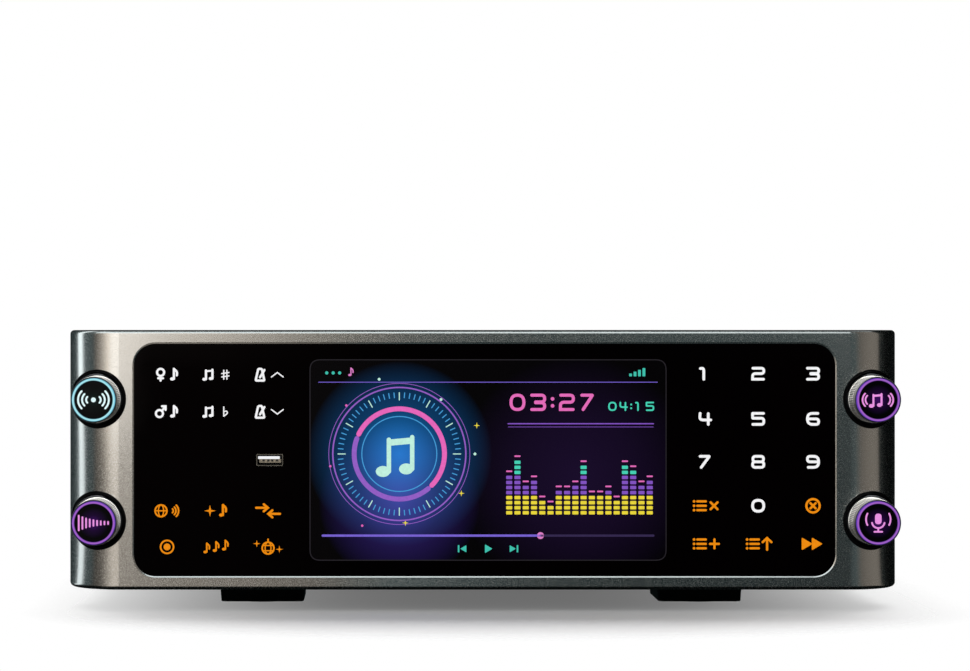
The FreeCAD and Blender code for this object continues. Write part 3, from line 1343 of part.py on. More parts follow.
def main():
    os.makedirs("parts", exist_ok=True)
    save("fascia", fascia())
    save("front_glass", front_glass())
    save("glass_tape", glass_tape())
    for name, (x, z) in KNOBS.items():
        save(name + "_knob_ring", knob_ring(x, z))
        save(name + "_light_ring", light_ring(x, z))
        save(name + "_knob_cap", knob_cap(x, z))
    places = KNOBS.values()
    save_group("knob_cores", [knob_core(x, z) for x, z in places])
    save_group("knob_collars", [knob_collar(x, z) for x, z in places])
    save_group("knob_encoders", [encoder(x, z) for x, z in places])
    save("left_encoder_board", encoder_board(-1))
    save("right_encoder_board", encoder_board(1))
    save("lcd_module", lcd_module())
    save("display_gasket", display_gasket())
    save("front_bracket", front_bracket())
    save("left_touch_board", touch_board(-1))
    save("right_touch_board", touch_board(1))
    save("front_port_shell", port_shell())
    save("front_port_tongue", port_tongue())
    save("front_port_board", port_board())
    save("top_cover", top_cover())
    save("base_tray", base_tray())
    save("rear_panel", rear_panel())
    for name, (x, y) in FEET.items():
        save("foot_" + name, foot(x, y))
    save_group("foot_pads", [post(x, y, PAD_RADIUS, 0, PAD_T) for x, y in FEET.values()])
    save("main_board", board(MAIN_BOARD_X, MAIN_BOARD_W, MAIN_BOARD_FRONT, MAIN_BOARD_BACK))
    supply_front = SUPPLY_BACK - SUPPLY_BOARD_D
    save("power_supply_board", board(SUPPLY_BOARD_X, SUPPLY_BOARD_W, supply_front, SUPPLY_BACK))
    save_group("board_standoffs", [standoff(x, y) for x, y in board_screw_places()])
    save_group("main_board_parts", board_parts())
    save("main_heatsink", heatsink())
    save_group("power_supply_parts", supply_parts())
    save("solid_state_drive", drive())
    save("display_ribbon", ribbon())
    save("phono_block", phono_block())
    save_group("phono_barrels", [phono_barrel(x, z) for x, z in phono_places()])
    save_group("microphone_jacks", [microphone_jack(x) for x in jack_places()])
    save_group("jack_nuts", [jack_nut(x) for x in jack_places()])
    save("video_port", video_port())
    save("network_port", network_port())
    save("mains_inlet", mains_inlet())
    save_group("mains_pins", mains_pins())
    save("power_switch_body", switch_body())
    save("power_rocker", rocker())
    save("fan_frame", fan_frame())
    save("fan_rotor", fan_rotor())
    save_group("inner_screws", inner_screws())
    save_group("case_screws", case_screws())
    save_group("foot_screws", foot_screws())


main()
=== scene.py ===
import json
import math

import bmesh
import bpy
from mathutils import Matrix, Vector

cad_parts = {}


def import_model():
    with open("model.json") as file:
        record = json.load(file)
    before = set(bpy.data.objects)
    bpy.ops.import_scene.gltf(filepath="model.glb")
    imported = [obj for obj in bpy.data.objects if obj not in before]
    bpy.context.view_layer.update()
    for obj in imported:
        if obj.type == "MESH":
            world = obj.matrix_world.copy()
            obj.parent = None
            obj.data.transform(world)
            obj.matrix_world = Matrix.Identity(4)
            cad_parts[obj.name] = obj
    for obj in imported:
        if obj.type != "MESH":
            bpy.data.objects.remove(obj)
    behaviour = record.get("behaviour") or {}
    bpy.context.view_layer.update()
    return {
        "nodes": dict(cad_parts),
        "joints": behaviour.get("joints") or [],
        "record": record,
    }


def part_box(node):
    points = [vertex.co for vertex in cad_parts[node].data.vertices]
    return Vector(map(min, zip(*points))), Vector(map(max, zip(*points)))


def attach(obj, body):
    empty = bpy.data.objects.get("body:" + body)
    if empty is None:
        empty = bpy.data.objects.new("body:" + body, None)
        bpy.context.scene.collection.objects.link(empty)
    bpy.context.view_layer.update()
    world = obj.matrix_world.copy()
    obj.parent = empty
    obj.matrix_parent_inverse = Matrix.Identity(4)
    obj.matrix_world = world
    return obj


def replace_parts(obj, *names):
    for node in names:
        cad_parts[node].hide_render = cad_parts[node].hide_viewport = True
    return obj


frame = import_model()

nodes = frame["nodes"]
scene = bpy.context.scene

MM = 0.001

# Framing, with places in pixels
IMAGE_W = 970
IMAGE_H = 671
FASCIA_MID_PX = 484.6
FASCIA_MID_PY = 460.0
PIXEL = 0.496 * MM
CAMERA_AWAY = 1.25
CAMERA_X = -0.055
SENSOR = 36.0

# Thickness of what is printed on the glass
PRINT_T = 0.04 * MM
PANE_T = 0.02 * MM


def middle_of(node, face=None, side=0):
    """Middle of a node, at the front of the node called face, or at its back if side is 1."""
    low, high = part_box(node)
    middle = (low + high) / 2
    if face:
        middle.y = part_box(face)[side].y
    return middle


FASCIA_MID = middle_of("fascia")
GLASS_MID = middle_of("front_glass", "front_glass")
SCREEN_MID = middle_of("lcd_module", "front_glass")


# Materials

# Axes of a distance that is taken in the plane of the front
FLAT = (1.0, 0.0, 1.0)

# Radians of a wave pattern along one metre, at a scale of one
WAVE_RATE = 20

# Ground colours and gloss under lit surfaces
LIT_GROUND = (0.004, 0.004, 0.004, 1.0)
LENS_GROUND = (0.003, 0.003, 0.004, 1.0)
PANE_GROUND = (0.002, 0.001, 0.002, 1.0)
LIT_GLOSS = 0.05
LENS_GLOSS = 0.04

# Share of a glow that is left half-way out, and reach of the haze in a knob's lens
HALO = 0.22
HAZE_RADIUS = 7.5 * MM

# Places where a knob ring turns from painted shade in its grooves to bright metal and back to painted shade
# on its flange, from groove to flange, and places of the shades of a lit ring's light, from edge to edge
KNURL_PAINTED_SHADE_PLACES = (0.03, 0.19, 0.27, 0.33)
RING_SHADES = (0.0, 0.3, 0.65, 1.0)
TOOL_MARK = 0.12 * MM


def tone(*values):
    """Linear colour from display values of 0 to 255."""
    shares = [value / 255 for value in values]
    return (*[s / 12.92 if s <= 0.04045 else ((s + 0.055) / 1.055) ** 2.4 for s in shares], 1.0)


def shaded(colour, share):
    """The same colour, darker or lighter."""
    return (*[share * value for value in colour[:3]], 1.0)


def feed(tree, socket, value):
    """Links an output to a socket, or sets a value on it."""
    if isinstance(value, bpy.types.NodeSocket):
        tree.links.new(value, socket)
    else:
        socket.default_value = value


class Finish:
    """A node material whose colour, roughness and relief vary over the surface."""

    def __init__(self, name, metallic=0.0, roughness=0.5):
        self.material = bpy.data.materials.new(name)
        self.material.use_nodes = True
        self.tree = self.material.node_tree
        self.shader = self.tree.nodes["Principled BSDF"]
        self.set("Metallic", metallic)
        self.set("Roughness", roughness)
        self.place = self.tree.nodes.new("ShaderNodeTexCoord").outputs["Object"]

    def set(self, socket, value):
        feed(self.tree, self.shader.inputs[socket], value)

    def node(self, kind, **links):
        """New node, with the outputs or values given for its inputs."""
        made = self.tree.nodes.new("ShaderNode" + kind)
        for name, value in links.items():
            feed(self.tree, made.inputs[name], value)
        return made

    def ends_in(self, surface):
        self.tree.links.new(surface, self.tree.nodes["Material Output"].inputs["Surface"])

    def noise(self, size, detail=2.0, stretch=(1.0, 1.0, 1.0)):
        """Cloudy pattern with features about size across."""
        place = self.node("Mapping", Vector=self.place, Scale=stretch).outputs[0]
        return self.node("TexNoise", Vector=place, Scale=1 / size, Detail=detail).outputs["Fac"]

    def lines(self, pitch, axis):
        """Fine parallel bands across an axis."""
        wave = self.node("TexWave", Vector=self.place, Scale=math.tau / WAVE_RATE / pitch, Distortion=0.6)
        wave.bands_direction = axis
        return wave.outputs["Fac"]

    def spread(self, factor, low, high, start=0.3, end=0.7):
        """A factor stretched to run from low to high."""
        limits = {"From Min": start, "From Max": end, "To Min": low, "To Max": high}
        return self.node("MapRange", Value=factor, **limits).outputs["Result"]

    def ramp(self, factor, *stops):
        """Colours at places along a factor."""
        made = self.node("ValToRGB", Fac=factor)
        points = made.color_ramp.elements
        while len(points) < len(stops):
            points.new(0.5)
        for point, (place, colour) in zip(points, stops):
            point.position = place
            point.color = colour
        return made.outputs["Color"]

    def colours(self, factor, dark, light, start=0.3, end=0.7):
        self.set("Base Color", self.ramp(factor, (start, tone(*dark)), (end, tone(*light))))

    def roughens(self, factor, low, high, start=0.3, end=0.7):
        self.set("Roughness", self.spread(factor, low, high, start, end))

    def relief(self, factor, depth, strength=1.0):
        bump = self.node("Bump", Height=factor, Distance=depth, Strength=strength)
        self.set("Normal", bump.outputs["Normal"])

    def away_from(self, middle, axes=(1.0, 1.0, 1.0)):
        """Distance from a point, counted along the axes that are one."""
        place = self.node("Mapping", Vector=self.place, Scale=axes).outputs[0]
        away = self.node("VectorMath")
        away.operation = "DISTANCE"
        self.tree.links.new(place, away.inputs[0])
        away.inputs[1].default_value = [length * axis for length, axis in zip(middle, axes)]
        return away.outputs["Value"]

    def glow(self, middle, radius, colour, strength=1.0):
        """Light that fades out from a middle."""
        fade = self.spread(self.away_from(middle), 1.0, 0.0, 0.0, radius)
        shares = ((0.0, 0.0), (0.5, HALO), (1.0, strength))
        return self.ramp(fade, *[(place, shaded(colour, share)) for place, share in shares])

    def sum_of(self, colours):
        """Several lights added up."""
        total = colours[0]
        for colour in colours[1:]:
            mix = self.tree.nodes.new("ShaderNodeMix")
            mix.data_type = "RGBA"
            mix.blend_type = "ADD"
            mix.inputs["Factor"].default_value = 1.0
            self.tree.links.new(total, mix.inputs["A"])
            self.tree.links.new(colour, mix.inputs["B"])
            total = mix.outputs["Result"]
        return total

    def shines(self, colour, ground=LIT_GROUND, gloss=LIT_GLOSS):
        """Gives off light of a colour, over a dark ground."""
        self.set("Base Color", ground)
        self.set("Specular IOR Level", gloss)
        self.set("Emission Color", colour)
        self.set("Emission Strength", 1.0)


def satin_metal(name, dark, light, rough, grain, depth):
    """Blasted and anodised metal with a fine grain."""
    finish = Finish(name, metallic=1.0)
    speck = finish.noise(grain, 3.0)
    finish.colours(speck, dark, light)
    finish.roughens(speck, *rough, start=0.45, end=0.68)
    finish.relief(speck, depth)
    return finish


def turned_metal(name, middle, groove, flange):
    """Turned ring with painted shade in the grooves between its teeth and on its flange, and fine tool marks
    round it.
    """
    finish = Finish(name, metallic=0.7)
    marks = finish.lines(TOOL_MARK, "Y")
    rise = finish.spread(finish.away_from(middle, FLAT), 0.0, 1.0, groove, flange)
    # The dark colour is painted shade: it darkens the grooves between the teeth and the flange at the bottom
    # of the well, where shade falls
    dark = tone(24, 25, 27)
    bright = tone(232, 230, 225)
    finish.set("Base Color", finish.ramp(rise, *zip(KNURL_PAINTED_SHADE_PLACES, (dark, bright, bright, dark))))
    finish.roughens(marks, 0.46, 0.56)
    finish.relief(marks, 0.004 * MM)
    return finish


def plated_metal(name, dark, light):
    """Plated steel or brass with faint handling marks."""
    finish = Finish(name, metallic=1.0)
    finish.colours(finish.noise(5 * MM, 4.0), dark, light)
    finish.roughens(finish.noise(1.5 * MM, 3.0), 0.18, 0.34)
    return finish


def moulded(name, dark, light, rough, grain=0.4 * MM, depth=0.01 * MM, gloss=0.5):
    """Moulded plastic or rubber with a fine texture."""
    finish = Finish(name)
    finish.set("Specular IOR Level", gloss)
    speck = finish.noise(grain, 3.0)
    finish.colours(speck, dark, light)
    finish.roughens(finish.noise(12 * MM), *rough)
    finish.relief(speck, depth)
    return finish


def coated_glass():
    """Black-backed touch glass with a coating against reflections."""
    finish = Finish("coated_glass")
    finish.set("Specular IOR Level", 0.02)
    finish.colours(finish.noise(90 * MM), (4, 1, 2), (7, 2, 3))
    finish.roughens(finish.noise(25 * MM, 4.0), 0.03, 0.09)
    return finish


def powder_coat():
    """Fine-textured powder coat on sheet steel."""
    finish = Finish("powder_coat")
    peel = finish.noise(0.9 * MM, 2.0)
    finish.colours(finish.noise(0.5 * MM), (34, 35, 37), (44, 45, 48))
    finish.roughens(peel, 0.42, 0.6)
    finish.relief(peel, 0.05 * MM, 0.6)
    return finish


def circuit_board():
    """Green solder mask over copper tracks."""
    finish = Finish("circuit_board")
    tracks = finish.noise(2.2 * MM, 0.0, (1.0, 1.0, 0.2))
    finish.set("Base Color", finish.ramp(tracks, (0.46, tone(12, 62, 38)), (0.5, tone(24, 96, 58))))
    finish.roughens(finish.noise(8 * MM), 0.28, 0.42)
    finish.relief(tracks, 0.03 * MM)
    return finish


def lit(name, colour, vary=0.12):
    """Lit print or diffuser, slightly uneven as such light is."""
    finish = Finish(name)
    light = tone(*colour)
    finish.shines(finish.ramp(finish.noise(1.2 * MM), (0.3, shaded(light, 1 - vary)), (0.7, light)))
    return finish


def ring_light(name, middle, inner, outer, core, edge):
    """Lit ring, brightest between its edges."""
    finish = Finish(name, roughness=0.4)
    across = finish.spread(finish.away_from(middle, FLAT), 0.0, 1.0, inner, outer)
    finish.shines(finish.ramp(across, *zip(RING_SHADES, (shaded(edge, 0.5), core, core, edge))))
    return finish


def knob_lens(name, middle, haze):
    """Smoked lens with a haze of light in its middle."""
    finish = Finish(name)
    finish.shines(finish.glow(middle, HAZE_RADIUS, haze), LENS_GROUND, LENS_GLOSS)
    finish.roughens(finish.noise(4 * MM), 0.1, 0.2)
    return finish


WHITE_LIGHT = lit("white_light", (250, 250, 252))
AMBER_LIGHT = lit("amber_light", (243, 142, 12))
CYAN_SIGN = lit("cyan_sign", (228, 252, 255))
PINK_SIGN = lit("pink_sign", (240, 150, 232))

FINISHES = {"black_glass": coated_glass(), "circuit_board": circuit_board(), "powder_coat": powder_coat()}
for maker, forms in (
    (satin_metal, {
        "fascia_metal": ((168, 166, 162), (196, 194, 190), (0.11, 0.36), 0.3 * MM, 0.003 * MM),
        "display_panel": ((86, 88, 92), (104, 106, 110), (0.4, 0.55), 0.8 * MM, 0.01 * MM),
        "heatsink_metal": ((120, 122, 126), (138, 140, 144), (0.35, 0.45), 0.5 * MM, 0.01 * MM),
        "drive_metal": ((92, 94, 98), (108, 110, 114), (0.35, 0.5), 0.6 * MM, 0.01 * MM),
    }),
    (plated_metal, {
        "plated_steel": ((198, 196, 192), (222, 221, 218)),
        "plated_brass": ((214, 176, 98), (236, 202, 124)),
        "port_steel": ((98, 94, 88), (122, 118, 110)),
    }),
    (moulded, {
        "black_foam": ((20, 20, 20), (32, 32, 32), (0.8, 0.95)),
        "dark_plastic": ((20, 20, 22), (30, 30, 33), (0.42, 0.58)),
        "gloss_black": ((5, 5, 6), (8, 8, 9), (0.06, 0.12), 2 * MM, 0.002 * MM),
        "foot_rubber": ((22, 22, 22), (34, 34, 34), (0.75, 0.9), 0.6 * MM, 0.03 * MM),
        "ribbon_film": ((206, 204, 196), (222, 220, 212), (0.3, 0.4)),
        "well_black": ((4, 4, 5), (9, 9, 10), (0.6, 0.75), 0.4 * MM, 0.01 * MM, 0.04),
        "port_carrier": ((196, 180, 152), (214, 198, 170), (0.35, 0.5)),
        # Contacts of the data port, coloured dark as painted shade
        "port_contact": ((14, 12, 10), (26, 22, 19), (0.3, 0.4)),
        "insulator_white": ((206, 204, 200), (222, 220, 216), (0.3, 0.45)),
        "insulator_red": ((150, 18, 22), (172, 26, 30), (0.3, 0.45)),
        "switch_print": ((214, 214, 212), (230, 230, 228), (0.4, 0.5)),
    }),
):
    for name, form in forms.items():
        FINISHES[name] = maker(name, *form)


def paint(node, finish):
    nodes[node].data.materials[0] = finish.material


for subpart in frame["record"]["subparts"]:
    if subpart["material_slot"] in FINISHES:
        paint(subpart["node"], FINISHES[subpart["material_slot"]])
paint("knob_collars", FINISHES["well_black"])
paint("front_port_tongue", FINISHES["dark_plastic"])
paint("front_port_shell", FINISHES["port_steel"])


# Flat outlines, in millimetres right and up from a middle. A patch is a list of points and the faces on them.

SAME_POINT = 1e-4
SHARPEST_MITRE = 0.4
CAP_STEPS = 8


def arc(x, z, radius, start, end, steps=32, tall=None):
    """Points along part of a circle or oval, in degrees from the right."""
    angles = [math.radians(start + (end - start) * i / steps) for i in range(steps + 1)]
    return [(x + radius * math.cos(a), z + (tall or radius) * math.sin(a)) for a in angles]


def rounded(points, radius, closed=False, steps=6):
    """The same line with its corners eased; a third number at a point is its share of the radius."""
    line = [Vector(p[:2]) for p in points]
    made = []
    for i, corner in enumerate(line):
        if not closed and i in (0, len(line) - 1):
            made.append(corner)
            continue
        before = line[i - 1] - corner
        after = line[(i + 1) % len(line)] - corner
        reach = radius * points[i][2] if len(points[i]) > 2 else radius
        start = corner + before.normalized() * min(reach, before.length / 2)
        end = corner + after.normalized() * min(reach, after.length / 2)
        for step in range(steps + 1):
            t = step / steps
            made.append(start.lerp(corner, t).lerp(corner.lerp(end, t), t))
    return [tuple(p) for i, p in enumerate(made) if (p - made[i - 1]).length > SAME_POINT]


def fill(points):
    return points, [list(range(len(points)))]


def stroke(points, width, closed=False):
    """Strip along a line, with round ends on an open one."""
    line = [Vector(p) for p in points]
    count = len(line)
    rails = []
    for i, point in enumerate(line):
        before = (point - line[i - 1]).normalized() if closed or i else None
        after = (line[(i + 1) % count] - point).normalized() if closed or i < count - 1 else None
        along = ((before or after) + (after or before)).normalized()
        side = Vector((-along.y, along.x))
        across = side.dot(Vector((-(after or before).y, (after or before).x)))
        reach = width / 2 / max(across, SHARPEST_MITRE)
        rails.append((point + side * reach, point - side * reach))
    made = [tuple(p) for pair in rails for p in pair]
    faces = [[2 * i, 2 * i + 1, 2 * i + 3, 2 * i + 2] for i in range(count - 1)]
    if closed:
        faces.append([2 * count - 2, 2 * count - 1, 1, 0])
        return made, faces
    for point, left, right in ((line[0], 0, 1), (line[-1], 2 * count - 1, 2 * count - 2)):
        spoke = Vector(made[left]) - point
        cap = [left]
        for step in range(1, CAP_STEPS):
            cap.append(len(made))
            made.append(tuple(point + Matrix.Rotation(math.pi * step / CAP_STEPS, 2) @ spoke))
        faces.append(cap + [right])
    return made, faces


def ring(x, z, radius, width, start=0, end=360, steps=48):
    points = arc(x, z, radius, start, end, steps)
    if end - start == 360:
        return stroke(points[:-1], width, closed=True)
    return stroke(points, width)


def disc(x, z, radius, steps=32, tall=None):
    return fill(arc(x, z, radius, 0, 360, steps, tall)[:-1])


def rectangle(x0, x1, z0, z1, corner):
    """Outline with rounded corners."""
    return rounded([(x0, z0), (x1, z0), (x1, z1), (x0, z1)], corner, closed=True)


def plate(*sides_and_corner):
    """Filled rectangle with rounded corners."""
    return fill(rectangle(*sides_and_corner))


def spots(x, z, size, *points):
    """Points given in units of a size about a middle."""
    return [(x + size * right, z + size * up) for right, up in points]


def bar(x, z, size, weight, *points):
    """Stroke through points given in units of a size about a middle."""
    return stroke(spots(x, z, size, *points), weight)


# Pieces

def in_scene(name, data):
    """New object in the scene."""
    thing = bpy.data.objects.new(name, data)
    scene.collection.objects.link(thing)
    return thing


def thing_of(name, shape, finish):
    """Object from a mesh in the frame."""
    mesh = bpy.data.meshes.new(name)
    shape.to_mesh(mesh)
    shape.free()
    mesh.materials.append(finish.material)
    return in_scene(name, mesh)


def piece(name, shape, finish, body="console"):
    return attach(thing_of(name, shape, finish), body)


def bands(rings, closed):
    """Mesh between rings of points, with caps on its ends unless it closes on itself."""
    shape = bmesh.new()
    loops = [[shape.verts.new(point) for point in points] for points in rings]
    for first, second in zip(loops, loops[1:] + loops[:1] if closed else loops[1:]):
        for i in range(len(first)):
            shape.faces.new([first[i], first[i - 1], second[i - 1], second[i]])
    if not closed:
        shape.faces.new(loops[0])
        shape.faces.new(loops[-1])
    bmesh.ops.recalc_face_normals(shape, faces=shape.faces[:])
    return shape


def sign(name, patches, middle, finish, thickness=PRINT_T, lift=0.0, way=-1, turn=0.0, body="console"):
    """Thin raised mesh that faces the front, or the back if way is 1, tipped by a turn about its middle."""
    shape = bmesh.new()
    for points, faces in patches:
        corners = [shape.verts.new(middle + Vector((x * MM, way * lift, z * MM))) for x, z in points]
        for face in faces:
            shape.faces.new([corners[i] for i in face])
    raised = bmesh.ops.extrude_face_region(shape, geom=shape.faces[:], use_keep_orig=True)
    front = [v for v in raised["geom"] if isinstance(v, bmesh.types.BMVert)]
    bmesh.ops.translate(shape, verts=front, vec=(0, way * thickness, 0))
    bmesh.ops.recalc_face_normals(shape, faces=shape.faces[:])
    bmesh.ops.rotate(shape, verts=shape.verts[:], cent=middle, matrix=Matrix.Rotation(turn, 3, "X"))
    piece(name, shape, finish, body)


# Numbers and signs, drawn in units of half their size

DIGIT_LINES = {
    0: [[(-1, 1), (1, 1), (1, -1), (-1, -1)]],
    1: [[(-0.85, 0.95), (-0.25, 1, 0.6), (-0.25, -1)]],
    2: [[(-0.95, 1), (1, 1, 0.5), (1, 0.02, 0.5), (-1, 0.02, 0.5), (-1, -1, 0), (0.95, -1)]],
    3: [[(-1, 1), (1, 1, 0.5), (1, 0.05, 0.5), (-0.4, 0.05)],
        [(-0.4, -0.05), (1, -0.05, 0.5), (1, -1, 0.5), (-1, -1)]],
    4: [[(-0.9, 1), (-1, -0.2, 0.7), (1, -0.2)], [(0.55, 0.95), (0.55, -1)]],
    5: [[(0.95, 1), (-1, 1, 0.05), (-1, 0.12, 0.1), (1, 0.12, 0.5), (1, -1, 0.5), (-0.95, -1)]],
    6: [[(0.85, 1), (-1, 1, 0.95), (-1, -1, 0.95), (1, -1, 0.5), (1, 0, 0.5), (-0.8, 0)]],
    7: [[(-0.9, 1), (0.75, 1, 0.1), (-0.7, -1)]],
    8: [[(-0.94, 1, 0.5), (0.94, 1, 0.5), (0.94, 0, 0.5), (-0.94, 0, 0.5)],
        [(-1, 0, 0.5), (1, 0, 0.5), (1, -1, 0.5), (-1, -1, 0.5)]],
    9: [[(-0.85, -1), (1, -1, 0.95), (1, 1, 0.95), (-1, 1, 0.5), (-1, 0, 0.5), (0.8, 0)]],
}
CLOSED_DIGITS = (0, 8)
STROKES = {
    "sharp": [[(-0.35, -1), (-0.35, 1)], [(0.35, -1), (0.35, 1)],
              [(-0.8, -0.5), (0.8, -0.26)], [(-0.8, 0.26), (0.8, 0.5)]],
    "chevron": [[(-1, -0.38), (0, 0.38), (1, -0.38)]],
    "arrow": [[(-1, 0), (1, 0)], [(0.3, 0.6), (1, 0), (0.3, -0.6)]],
    "rising": [[(0, -1), (0, 1)], [(-0.75, 0.3), (0, 1), (0.75, 0.3)]],
    "cross": [[(-1, 1), (1, -1)], [(-1, -1), (1, 1)]],
    "plus": [[(-1, 0), (1, 0)], [(0, -1), (0, 1)]],
}
DIGIT_ASPECT = 0.92
DIGIT_STEP = 1.3
COLON_STEP = 0.5
COLON_HALF = 0.2


def digit(figure, x, z, width, height, weight):
    """Rounded number drawn with even strokes."""
    half_w = (width - weight) / 2
    half_h = (height - weight) / 2
    closed = figure in CLOSED_DIGITS
    made = []
    for points in DIGIT_LINES[figure]:
        placed = [(x + point[0] * half_w, z + point[1] * half_h, *point[2:]) for point in points]
        made.append(stroke(rounded(placed, half_h, closed), weight, closed))
    return made


def number(text, x, z, height, weight):
    """Row of numbers about a middle, with colons."""
    width = DIGIT_ASPECT * height
    steps = [(COLON_STEP if letter == ":" else DIGIT_STEP) * width for letter in text]
    left = x - sum(steps) / 2
    made = []
    for letter, step in zip(text, steps):
        spot = left + step / 2
        left += step
        if letter == ":":
            made += [disc(spot, z + side * COLON_HALF * height, 0.6 * weight) for side in (1, -1)]
        else:
            made += digit(int(letter), spot, z, width, height, weight)
    return made


def drawn(kind, x, z, size, weight):
    """Sign of strokes alone; a size below nought turns it half round."""
    return [bar(x, z, size, weight, *points) for points in STROKES[kind]]


def note(x, z, size, weight):
    """Single quaver."""
    flag = rounded(spots(x, z, size, (0, 1), (0.55, 0.5), (0.5, -0.1)), 0.5 * size)
    return [disc(x - 0.3 * size, z - 0.72 * size, 0.36 * size, 24, 0.28 * size),
            bar(x, z, size, weight, (0, -0.72), (0, 1)), stroke(flag, weight)]


def beamed_notes(x, z, size, weight):
    """Two quavers under one beam."""
    made = []
    for side, drop in ((-1, 0.12), (1, 0.0)):
        stem, low = 0.55 * side, -0.65 - drop
        made.append(disc(x + (stem - 0.28) * size, z + low * size, 0.34 * size, 28, 0.26 * size))
        made.append(bar(x, z, size, weight, (stem, low), (stem, 0.85 - drop)))
    half = 0.55 + weight / 2 / size
    return made + [fill(spots(x, z, size, (-half, 0.73), (half, 0.85), (half, 0.55), (-half, 0.43)))]


def flat_mark(x, z, size, weight):
    bowl = spots(x, z, size, (-0.35, -1), (0.55, -0.3), (0.3, 0.25), (-0.35, 0))
    return [bar(x, z, size, weight, (-0.35, -1), (-0.35, 1.1)), stroke(rounded(bowl, 0.45 * size), weight)]


def metronome(x, z, size, weight):
    body = spots(x, z, size, (-0.75, -1), (0.75, -1), (0.3, 1), (-0.3, 1))
    return [stroke(rounded(body, 0.2 * size, True), weight, True),
            bar(x, z, size, weight, (0, -0.45), (0.75, 0.8))]


def female(x, z, size, weight):
    return [ring(x, z + 0.4 * size, 0.6 * size, weight),
            bar(x, z, size, weight, (0, -0.2), (0, -1)),
            bar(x, z, size, weight, (-0.4, -0.6), (0.4, -0.6))]


def male(x, z, size, weight):
    return [ring(x - 0.2 * size, z - 0.3 * size, 0.6 * size, weight),
            bar(x, z, size, weight, (0.22, 0.16), (0.85, 0.95)),
            bar(x, z, size, weight, (0.25, 0.95), (0.85, 0.95), (0.85, 0.35))]


def globe(x, z, size, weight):
    thin = 0.75 * weight
    meridian = arc(x, z, 0.45 * size, 0, 360, 32, size)[:-1]
    return [ring(x, z, size, weight), stroke(meridian, thin, True), bar(x, z, size, thin, (-1, 0), (1, 0))]


def waves(x, z, size, weight, way=0):
    """Three arcs that spread to one side."""
    return [ring(x, z, share * size, weight, way - 45, way + 45, 16) for share in (0.45, 0.9, 1.35)]


def spark(x, z, size):
    """Four-pointed star with drawn-in sides."""
    tips, dips = arc(x, z, size, 0, 270, 3), arc(x, z, 0.26 * size, 45, 315, 3)
    return [fill([point for pair in zip(tips, dips) for point in pair])]


def lines_of_list(x, z, size, weight):
    """Rows of a song list, each with a dot."""
    made = []
    for level in (-0.75, 0.0, 0.75):
        made.append(disc(x - size, z + level * size, 0.6 * weight))
        made.append(bar(x, z, size, weight, (-0.45, level), (1, level)))
    return made


def play(x, z, size, way=1):
    corners = spots(x, z, size, (-0.7 * way, -1), (-0.7 * way, 1), (way, 0))
    return [fill(rounded(corners, 0.25 * size, True))]


def mirror_ball(x, z, size, weight):
    thin = 0.7 * weight
    made = [ring(x, z, size, weight)]
    for level in (-0.45, 0.45):
        half = math.sqrt(1 - level**2)
        made.append(bar(x, z, size, thin, (-half, level), (half, level)))
    made += [stroke(arc(x, z, bend * size, -90, 90, 16, size), thin) for bend in (-0.5, 0.5)]
    return made + [bar(x, z, size, weight, (0, 1), (0, 1.5))]


# Touch keys, placed from the middle of the glass

KEY_W = 1.1
FINE_W = 0.8
THIN_W = 0.6
SIGN_R = 2.9
SMALL_R = 2.2
STEP_R = 3.2
MEDLEY_R = 2.5
SPARK_R = 1.8
CROSS_R = 1.7
RECORD_R = (3.2, 1.7)
CANCEL_R = (3.3, 1.3)
NUMBER_FORM = (6.9, 6.8, 1.35)
LEFT_KEYS = (-157.5, -133.2, -107.4)
RIGHT_KEYS = (109.4, 135.7, 162.9)
WHITE_ROWS = (42.3, 23.9)
AMBER_ROWS = (-25.2, -43.1)
NUMBER_ROWS = (42.8, 20.4, -0.9, -22.7, -41.6)

# How far the two signs of a key stand from its middle
VOICE_AT = (-3.2, 3.4)
PITCH_AT = (-3.4, 4.6)
TEMPO_AT = (-4.0, 4.6)
NETWORK_AT = (-3.0, 1.8)
NEW_AT = (-3.0, 3.4)
LIST_AT = (-2.6, 4.4)
PLUS_AT = 4.6
START_AT = (1.6, -3.4)
DUEL_STEP = (3.0, 1.5)
MEDLEY_STEP = (4.6, 0.7)
BALL_DROP = 0.6
BALL_SPARKS = ((-5.6, 1.6), (5.6, -1.2))


def voice_and_pitch_keys():
    """White signs of the left field, each up and down."""
    form = (SIGN_R, KEY_W)
    small = (SMALL_R, THIN_W)
    (a, b), (c, d), (e, f) = [
        [x + step for step in steps] for x, steps in zip(LEFT_KEYS, (VOICE_AT, PITCH_AT, TEMPO_AT))]
    up, down = WHITE_ROWS
    return {
        "voice_high": female(a, up, *form) + note(b, up, *form),
        "voice_low": male(a, down, *form) + note(b, down, *form),
        "pitch_up": beamed_notes(c, up, *form) + drawn("sharp", d, up, *small),
        "pitch_down": beamed_notes(c, down, *form) + flat_mark(d, down, *small),
        "tempo_up": metronome(e, up, *form) + drawn("chevron", f, up, SIGN_R, THIN_W),
        "tempo_down": metronome(e, down, *form) + drawn("chevron", f, down, -SIGN_R, THIN_W),
    }


def number_keys():
    """White numbers of the right field."""
    places = [(x, z) for z in NUMBER_ROWS[:3] for x in RIGHT_KEYS] + [(RIGHT_KEYS[1], NUMBER_ROWS[3])]
    return {str(i % 10): digit(i % 10, *place, *NUMBER_FORM) for i, place in enumerate(places, 1)}


